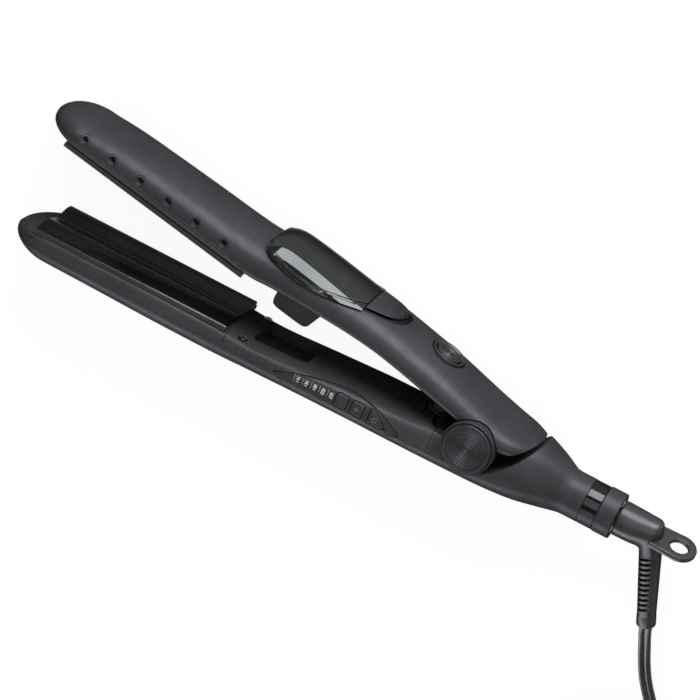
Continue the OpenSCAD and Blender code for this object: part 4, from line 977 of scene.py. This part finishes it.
plus_x = KEY_X + PITCH
sign_x, sign_y = POWER_X + 3, KEY_Y - 0.8
ring_arc = [(sign_x + 1.15 * cos(radians(a)), sign_y + 1.15 * sin(radians(a)))
            for a in range(220, 501, 20)]
key_sign("minus_sign", [upright(KEY_X)], "minus_key")
key_sign("plus_sign", [upright(plus_x), [(plus_x - 1.1, KEY_Y), (plus_x + 1.1, KEY_Y)]], "plus_key")
key_sign("power_sign", [ring_arc, [(sign_x - 1.5, sign_y), (sign_x - 0.2, sign_y)]], "power_key", 0.24)

# ---- hinge ----

ring = [(11.52, ARM_W), (11.52, 43.05), (11.66, 43.2), (12.0, 43.2), (12.28, 42.95), (12.4, 42.5),
        (12.4, 41.35), (12.15, 41.2), (12.15, ARM_W)]
piece("ring_near", lathe(ring, 160, closed=True), "lower_arm", "soft_touch", "hinge_ring")
cap = lathe([(0, 0), (6.9, 0), (7.9, 0.15), (8.1, 0.4), (8.1, 0.8), (0, 0.8)])
piece("cap_far", cut(cap, cylinder((0, 0, -1), (0, 0, 1), 1.1, 1.4, 6)), "lower_arm", "inner_plastic",
      "far_hinge_cap")


def dial_shape():
    """Lock dial with a raised rim and eight fine rings in its face, on a short stem."""
    prof = [(0, 0), (10.9, 0), (11.2, 0.3), (11.2, 1.55), (11.1, 1.82), (10.85, 2.0), (9.95, 2.0),
            (9.72, 1.9), (9.6, 1.55), (9.38, 1.5)]
    for k in range(8):
        r = 9.15 - k * 1.06
        prof += [(r, 1.54), (r - 0.14, 1.76), (r - 0.32, 1.84), (r - 0.5, 1.76), (r - 0.64, 1.54),
                 (r - 0.85, 1.5)]
    prof += [(0.6, 1.54), (0.42, 1.72), (0, 1.76)]
    face = lathe([(r, 42.4 + z) for r, z in prof], 192)
    return fuse(face, cylinder((0, 0, 39.45), (0, 0, 1), 2.7, 3.2, 48))


piece("lock_dial", dial_shape(), "lock_key", "inner_plastic", "lock_button", mat="dial", angle=40)

# ---- swivel, boot and strain relief ----


def in_swivel(p):
    """Cord end's own frame: X and Y in the plane of the bend, Z across it."""
    y, z = p[1], p[2]
    return (p[0], NECK_Y + y * cos(TURN) - z * sin(TURN),
            HW + y * sin(TURN) + z * cos(TURN))


def bend_points(p, mid, q, n=6):
    """Curve from p to q that turns at mid."""
    return [p * (1 - t) ** 2 + mid * 2 * t * (1 - t) + q * t * t for t in (k / n for k in range(n + 1))]


def boot_shape():
    """Round boot that meets the strain relief in a mitred elbow with softened corners."""
    dx, dy = cos(BEND), -sin(BEND)
    ex, soft = ELBOW.x, 2.4
    inner, outer = (ex - 3.0, -7.9), (ex + 3.4, 8.1)
    cx, cy = (inner[0] + outer[0]) / 2, (inner[1] + outer[1]) / 2
    hx, hy = (outer[0] - inner[0]) / 2, (outer[1] - inner[1]) / 2
    columns = []
    for a in circle(72):
        c, s = cos(a), sin(a)
        foot = [Vector((BOOT_X0 + x, r * c, r * s))
                for x, r in ((0, 7.0), (0, 7.9), (0.22, 8.18), (0.7, 8.3), (3, 8.28), (6, 8.2), (8.6, 8.12))]
        mid = Vector((cx + hx * c, cy + hy * c, 6.9 * spow(s, 0.92)))
        tops = [Vector((ex + dx * d - dy * r * c, dy * d + dx * r * c, r * s))
                for d, r in ((10.2, 5.22), (10.5, 5.1), (10.6, 4.9))]
        run_in, run_out = foot[-1] - mid, tops[0] - mid
        p = mid + run_in.normalized() * min(soft, run_in.length * 0.6)
        q = mid + run_out.normalized() * min(soft, run_out.length * 0.6)
        columns.append(foot + [foot[-1].lerp(p, t) for t in (0.33, 0.66)] + bend_points(p, mid, q)
                       + [q.lerp(tops[0], t) for t in (0.33, 0.66)] + tops)
    return loft([[tuple(v) for v in ring] for ring in zip(*columns)], place=in_swivel)


piece("boot", boot_shape(), "cord_swivel", "cord_rubber", "swivel_boot", mat="boot", angle=40)


def at_relief(p):
    """Strain relief's frame: Z along it, X in the plane of the bend, Y across it."""
    dx, dy = cos(BEND), -sin(BEND)
    return in_swivel((ELBOW.x + dx * p[2] - dy * p[0], dy * p[2] + dx * p[0], p[1]))


def relief_shape():
    """Tapered sleeve with a collar at its end and two rows of eleven slanted windows."""
    def rad(z):
        return 5.2 - (z - 8.4) * 0.95 / 42

    def window(n, z, reach):
        # a slanted slot's outline at a distance from the axis, on the side that n points to
        half = rad(z) * 0.74
        pts = []
        for a in circle(28):
            u, w = half * spow(cos(a), 0.5), 0.78 * spow(sin(a), 0.6)
            pts.append((n[0] * reach + n[1] * u, n[1] * reach - n[0] * u, z + w - 0.34 * u))
        return pts

    prof = [(0, 7.4), (4.6, 7.4), (4.9, 8.2)] + [(rad(z), z) for z in (9, 16, 23, 30, 37, 43.6, 44.0)]
    prof += [(4.42, 44.5), (4.5, 45.2), (4.52, 49.6), (4.42, 50.15), (4.15, RELIEF_LEN), (3.3, RELIEF_LEN),
             (3.15, 50.1), (3.05, 49.2), (0, 49.2)]
    cuts = []
    for face in (108, 288):
        n = (cos(radians(face)), sin(radians(face)))
        for z in (11.6 + k * 2.86 for k in range(11)):
            cuts.append(loft([window(n, z, reach) for reach in (2.9, 7.5)], place=at_relief))
    return cut(lathe(prof, place=at_relief), *cuts)


piece("relief", relief_shape(), "cord_swivel", "cord_rubber", "strain_relief", mat="boot", angle=35)


def loop_shape():
    """Flat eye with a round hole, softened all round. It stands across the plane of the bend."""
    x0, cx, r, half, e = ELBOW.x + 1.2, ELBOW.x + 13.6, 8.0, 1.3, 0.55
    outline = [(cx + r * cos(a), r * sin(a))
               for a in (radians(-90 + 180 * k / 48) for k in range(49))]
    outline += [(x0, r - 0.6), (x0, -r + 0.6)]
    rings = []
    for z, inset in ((-half, e), (-half + e * 0.3, e * 0.3), (-half + e, 0), (half - e, 0),
                     (half - e * 0.3, e * 0.3), (half, e)):
        ring = []
        for x, y in outline:
            d = hypot(x - cx, y)
            ring.append((cx + (x - cx) * (d - inset) / d, y * (d - inset) / d, z))
        rings.append(ring)

    def place(p):
        return in_swivel((p[0], p[2], -p[1]))

    hole = [(0, -3), (4.95, -3), (4.95, -half - 0.01), (4.62, -half + 0.1), (4.3, -half + 0.45),
            (4.3, half - 0.45), (4.62, half - 0.1), (4.95, half + 0.01), (4.95, 3), (0, 3)]
    bore = lathe(hole, place=lambda p: place((p[0] + cx, p[1], p[2])))
    return cut(loft(rings, place=place), bore)


piece("eye", loop_shape(), "cord_swivel", "cord_rubber", "hanging_loop", mat="boot", angle=35)

# ---- upper arm ----

XU = [x for x in stations(-UPPER_REACH, 26) if x < 25] + [26]
VENTS = [-219.9 + 15.7 * k for k in range(6)]
VENT_Y = 8
STEAM_X, STEAM_TILT = -32.4, radians(4)
STEAM_Y = curve(UPPER, STEAM_X) + row(UPPER, STEAM_X)[2]
PUMP_X, SEAL_X = -22, BLOCK_X + 13.4
HOUSE_X, HOUSE_Z, HOUSE_W = BLOCK_X - 0.2, 8.0, 21.5


def steam_at(p):
    """Steam button's frame, Z out of the arm's back."""
    x, y, z = p[0], p[2], -p[1]
    c, s = cos(STEAM_TILT), sin(STEAM_TILT)
    return (STEAM_X + x * c + y * s, STEAM_Y - x * s + y * c, HW + z)


def back_shell():
    """Back of the upper arm, with a saddle for the tank and a hole for its seal."""
    shell = thin_loft(UPPER, XU, lambda r: (-wrap(r), 180 + wrap(r)), lambda r: 0 if wrap(r) else GAP / 2, 72)
    tail = [(-13, -10), (-13, 5), (0, 5), (8, 4.2)] + along(TAIL, 9, 26, 16) + [(30, 18), (30, -10)]
    cuts = [above(TANK_EDGE, TANK_FRONT, TANK_TAIL),
            lathe([(0, -20), (8.9, -20), (8.9, 10), (0, 10)], place=steam_at)]
    cuts += [cylinder((x, VENT_Y, z), (0, 0, 1), 2.45, 6, 48) for x in VENTS for z in (-1, 36)]
    cuts += [cylinder((0, 0, -1), (0, 0, 1), HINGE_R + 0.6, 43, 144), prism(tail)]
    saddle = along(TANK_EDGE, TANK_FRONT - 2, TANK_TAIL + 2, 40)
    saddle += [(p[0], p[1] - 1.6) for p in saddle[::-1]]
    seat = full_loft(UPPER, [TANK_FRONT - 2 + k * 2.1 for k in range(40)], WALL / 2)
    shell = cut(shell, *cuts)
    shell = fuse(shell, meet(seat, prism(saddle)))
    return cut(shell, cylinder((SEAL_X, 8, HW), (0, 1, 0), 4.05, 14))


def inner_cover():
    """Side of the upper arm that faces the hair, open for the plate, the chamber, the pump and the screws."""
    def lap(r):
        return wrap(r) + 2 if wrap(r) else 0

    cover = thin_loft(UPPER, [x for x in XU if x < SPLIT - 2.5] + [SPLIT - 2],
                      lambda r: (180 + lap(r), 360 - lap(r)), lambda r: 0 if wrap(r) else -GAP / 2, 72)
    x0, x1 = UPPER_PLATE_X, UPPER_PLATE_X + PLATE_LEN
    cover = fuse(cover, box(x0 - 2, 3.6, 1.6, x1 + 2, 4.5, 39.4))
    cuts = [box(x0 - 0.45, -21, HW - PLATE_HALF, x1 + 0.45, 3.8, HW + PLATE_HALF),
            box(HOUSE_X - 0.2, -10, HOUSE_Z - 0.2, HOUSE_X + 23.6, 10, HOUSE_Z + HOUSE_W + 0.2),
            cylinder((PUMP_X, -10, HW), (0, 1, 0), 6.1, 30)]
    cuts += [cylinder((x, -10, z), (0, 1, 0), SCREW_HOLE_R, 10 + arm_seat(x), 40) for x, z in ARM_SCREWS]
    return cut(cover, *cuts)


piece("upper_shell", move(back_shell(), up), "upper_arm", "soft_touch", "upper_outer_shell")
piece("upper_cover", move(inner_cover(), up), "upper_arm", "inner_plastic", "upper_inner_cover")


def nozzle(x, side):
    """Funnel of one vent on the far side (-1) or the near side (1)."""
    prof = [(2.3, 0.0), (2.3, 3.8), (1.35, 3.8), (1.35, 1.9), (1.6, 1.3), (1.95, 0.7), (2.15, 0.0)]
    return lathe(prof, 48, closed=True,
                 place=lambda p: (x + p[0], VENT_Y - side * p[1], ARM_W - p[2] if side > 0 else p[2]))


body = full_loft(UPPER, [x for x in XU if x < -130], 0.12, 160)
nozzles = [meet(nozzle(x, side), body.copy()) for x in VENTS for side in (-1, 1)]
piece("nozzles", move(join(nozzles), up), "upper_arm", "inner_plastic", "vent_nozzles", angle=35)


def chamber_house():
    """Housing of the steam chamber, open towards the arm."""
    x, z0, z1, low = HOUSE_X, HOUSE_Z, HOUSE_Z + HOUSE_W, -7.1
    prof = [(0, 9), (0.6, -4), (1.4, low + 0.9), (3, low + 0.2), (5, low), (16, low), (19, low + 0.3),
            (20.6, low + 1.6), (21.4, -2), (22.4, 1.6), (23.4, 3), (23.4, 9)]
    house = prism(round_poly([(x + p[0], p[1]) for p in prof], 1.2, 4), z0, z1)
    house = cut(house, box(x + 2, -4.6, z0 + 1.6, x + 19.4, 15.4, z1 - 1.6))
    return move(modify(house, bevel(0.7, 4)), up)


piece("house", chamber_house(), "upper_arm", "inner_plastic", "chamber_housing", mat="housing", angle=40)

steam_ring = [(6.4, -3.2), (8.1, -3.2), (8.3, -3.0), (8.3, 0.3), (8.26, 0.55), (8.12, 0.72), (7.95, 0.76),
              (7.75, 0.68), (7.5, 0.45), (6.7, -0.55), (6.5, -0.85), (6.4, -1.2)]
piece("steam_ring", move(lathe(steam_ring, 128, steam_at, closed=True), up), "upper_arm", "soft_touch",
      "steam_button_ring", mat="boot", angle=40)
steam_key = [(0, -2), (6, -2), (6, 0.1), (5.9, 0.38), (5.6, 0.56), (5.2, 0.6), (4.7, 0.55)]
for r in (4.5 - k * 1.05 for k in range(4)):
    steam_key += [(r, 0.5), (r - 0.16, 0.64), (r - 0.34, 0.64), (r - 0.5, 0.46), (r - 0.86, 0.4)]
steam_key += [(0, 0.36)]
piece("steam_key_top", move(lathe(steam_key, 128, steam_at), up), "steam_key", "inner_plastic",
      "steam_button", mat="dial", angle=40)

plunger = [(0, -3.9), (5.0, -3.9), (5.4, -3.5), (5.4, -3.0), (5.1, -2.7), (4.0, -2.7), (4.0, 9.0), (2.9, 9.0),
           (2.9, -2.3), (0, -2.3)]
piece("plunger", lathe(plunger, place=lambda p: up((PUMP_X + p[0], p[2], HW + p[1]))), "pump_piston",
      "inner_plastic", "pump_plunger", angle=40)

# ---- water tank ----

JOINT = -73.5                       # where the tank's window ends and the latch starts


def tank_solid(inset, x0, x1):
    """Length of the tank's whole section, drawn in by inset."""
    xs = [x0 + (x1 - x0) * k / 40 for k in range(41)]
    return loft([section(row(TANK, x), x, 1, 0, 360, 96, inset)[:-1] for x in xs])


def tank_body(x0, x1, e):
    """Length of the tank's whole section, with both ends eased by e."""
    ins = [(0, e), (e * 0.12, e * 0.55), (e * 0.4, e * 0.18), (e, 0)]
    stops = [(x0 + d, i) for d, i in ins]
    stops += [(x0 + e + (x1 - x0 - 2 * e) * k / 44, 0) for k in range(1, 44)]
    stops += [(x1 - d, i) for d, i in ins[::-1]]
    return loft([section(row(TANK, x), x, 1, 0, 360, 96, i)[:-1] for x, i in stops])


def tank_skin(depth, x0, x1):
    """All that lies within a depth of the tank's surface, and 1 mm outside it."""
    return cut(tank_solid(-1, x0, x1), tank_solid(depth, x0 - 1, x1 + 1))


def tank_shape():
    tank = cut(tank_body(TANK_FRONT, JOINT, 0.45), tank_solid(1.6, TANK_FRONT + 2, JOINT - 1.6))
    tank = meet(tank, above(TANK_EDGE, TANK_FRONT - 1, JOINT + 1, 0.3, steps=64))
    # fine groove that sets the lip off from the window
    low = along(TANK_EDGE, TANK_FRONT - 1, TANK_FRONT + 57, 64, 2.35)
    strip = low + [(p[0], p[1] + 0.34) for p in low[::-1]]
    groove = meet(tank_skin(0.22, TANK_FRONT - 1, JOINT + 1), prism(strip))
    return move(cut(tank, groove), up)


def latch_shape():
    latch = cut(tank_body(JOINT + 0.3, TANK_TAIL, 0.5), tank_solid(1.8, JOINT - 1, TANK_TAIL + 1))
    latch = meet(latch, above(TANK_EDGE, JOINT + 0.3, TANK_TAIL - 3.4, 1.5, steps=48))
    # thumb ribs on the crown
    cx = TANK_TAIL - 3.4
    cy = curve(TANK, cx) + row(TANK, cx)[2]
    skin = tank_skin(0.3, JOINT - 1, TANK_TAIL + 1)
    ribs = []
    for r in (3.2 + k * 1.5 for k in range(5)):
        rib = lathe([(r, -3), (r + 0.55, -3), (r + 0.55, 3), (r, 3)], 64, closed=True,
                    place=lambda p: (cx + p[0], cy - 0.4 + p[2] - 0.02 * p[0], HW + p[1]))
        ribs.append(meet(rib, skin.copy()))
    return move(cut(latch, *ribs), up)


def latch_seat():
    """Glossy seat around the latch."""
    seat = cut(tank_solid(0.75, JOINT + 0.4, TANK_TAIL + 0.2), tank_solid(1.7, JOINT - 1, TANK_TAIL + 1))
    seat = meet(seat, above(TANK_EDGE, JOINT + 0.4, TANK_TAIL - 0.1, 0.05, steps=48))
    return move(cut(seat, above(TANK_EDGE, JOINT - 1, TANK_TAIL - 1.4, 1.15, steps=48)), up)


def lip_shape():
    """Lip around the tank's foot."""
    lip = cut(tank_solid(-0.32, TANK_FRONT - 0.35, JOINT - 0.02),
              tank_solid(0.9, TANK_FRONT + 0.9, JOINT + 1))
    edge = along(TANK_EDGE, TANK_FRONT - 1, JOINT, 64)
    band = [(p[0], p[1] + 0.32) for p in edge] + [(p[0], p[1] + 1.9) for p in edge[::-1]]
    return move(modify(meet(lip, prism(band)), bevel(0.2, 3)), up)


piece("tank_glass", tank_shape(), "tank", "tank_smoke", "water_tank", angle=30)
piece("latch", latch_shape(), "latch", "inner_plastic", "tank_latch", mat="soft_touch", angle=34)
piece("latch_seat", latch_seat(), "upper_arm", "gloss_black", angle=34)
piece("tank_lip", lip_shape(), "tank", "tank_smoke", angle=40)

# ---- pieces kept from the construction ----

# The indicator lamps get their own unlit look. The steam manifold gets the black inner plastic in place of
# its slot's material as painted shade: it darkens the vent bores in front of it.
LOOK_AND_PAINTED_SHADE = {"indicator_lamps": "lamp", "steam_manifold": "inner_plastic"}
SLOT_OF = {s["node"]: s["material_slot"] for s in frame["record"]["subparts"]}
for name, ob in frame["nodes"].items():
    ob.data.materials.clear()
    ob.data.materials.append(M[LOOK_AND_PAINTED_SHADE.get(name, SLOT_OF[name])])
    for f in ob.data.polygons:
        f.material_index = 0

# ---- camera, floor and lights ----

scene = bpy.context.scene
WHITE = (1, 1, 1, 1)
ARMS_MIDDLE, HINGE_SIDE = (-0.07, 0.0, 0.02), (0.03, 0, 0.02)
FLOOR_HALF, FLOOR_Z = 4, -0.0004


def frame_at(place, x, y, z):
    """Matrix with the given axes at a place in metres."""
    return Matrix.Translation(place) @ Matrix((x, y, z)).transposed().to_4x4()


def camera():
    data = bpy.data.cameras.new("view")
    data.lens, data.sensor_width = 164.57, 36
    data.clip_start, data.clip_end = 0.05, 20
    right = Vector((0.87149, 0.34797, -0.34553)).normalized()
    back = Vector((0.19595, 0.39875, 0.89588)).normalized()
    high = back.cross(right).normalized()
    right = high.cross(back).normalized()
    target = Vector((-70.3326, 6.4830, HW)) * MM
    ob = link("view", data)
    ob.matrix_world = frame_at(target + back * 1.437, right, high, back)
    return ob


def stage_floor():
    """Pale floor that takes soft shadows, and is close to white where the camera or a reflection sees it."""
    me = bpy.data.meshes.new("floor")
    corners = [(x * FLOOR_HALF, y * FLOOR_HALF, FLOOR_Z) for x, y in ((-1, -1), (1, -1), (1, 1), (-1, 1))]
    me.from_pydata(corners, [], [(0, 1, 2, 3)])
    m = bpy.data.materials.new("floor_white")
    nt = new_tree(m)
    rays = node(nt, "LightPath").outputs
    seen = node(nt, "Math", {0: rays["Is Camera Ray"], 1: rays["Is Glossy Ray"]}, operation="MAXIMUM")
    seen = node(nt, "Math", {0: seen.outputs[0], 1: rays["Is Transmission Ray"]}, operation="MAXIMUM")
    glow = node(nt, "Math", {0: seen.outputs[0], 1: 0.93}, operation="MULTIPLY")
    matt = node(nt, "BsdfDiffuse", {"Color": (0.86, 0.86, 0.86, 1)})
    light = node(nt, "Emission", {"Color": WHITE, "Strength": 1.0})
    mix = node(nt, "MixShader", {0: glow.outputs[0], 1: matt.outputs[0], 2: light.outputs[0]})
    node(nt, "OutputMaterial", {"Surface": mix.outputs[0]})
    me.materials.append(m)
    ob = link("floor", me)


def studio_world():
    """White to the camera, and a dim even light for everything else."""
    world = bpy.data.worlds.new("studio")
    nt = new_tree(world)
    sky, plain = (node(nt, "Background", {"Color": WHITE, "Strength": s}).outputs[0] for s in (0.3, 1.0))
    mix = node(nt, "MixShader", {0: node(nt, "LightPath").outputs["Is Camera Ray"], 1: sky, 2: plain})
    node(nt, "OutputWorld", {"Surface": mix.outputs[0]})
    return world


def area(name, direction, distance, aim, size_x, size_y, power):
    """Soft lamp seen from the arms' middle in a direction, and turned to an aim, in metres."""
    data = bpy.data.lights.new(name, "AREA")
    data.shape, data.size, data.size_y, data.energy = "RECTANGLE", size_x, size_y, power
    centre = Vector(ARMS_MIDDLE) + Vector(direction).normalized() * distance
    z = (centre - Vector(aim)).normalized()
    x = (Vector((1, 0, 0)) - z * z.x).normalized()
    link(name, data).matrix_world = frame_at(centre, x, z.cross(x), z)


scene.camera = camera()
scene.view_settings.view_transform = "Standard"
scene.world = studio_world()
stage_floor()
area("key", (0.02, 0.93, 0.36), 0.7, ARMS_MIDDLE, 0.56, 0.46, 7.2)
area("top", (0.35, 0.3, 0.9), 1.4, ARMS_MIDDLE, 1.4, 1.0, 6)
area("rim", (-0.25, -0.93, 0.27), 0.8, ARMS_MIDDLE, 0.9, 0.34, 8)
area("side", (0.5, 0.8, 0.26), 0.8, HINGE_SIDE, 0.4, 0.36, 2.6)
area("low", (0.42, -0.83, 0.37), 0.8, HINGE_SIDE, 0.35, 0.3, 1.6)
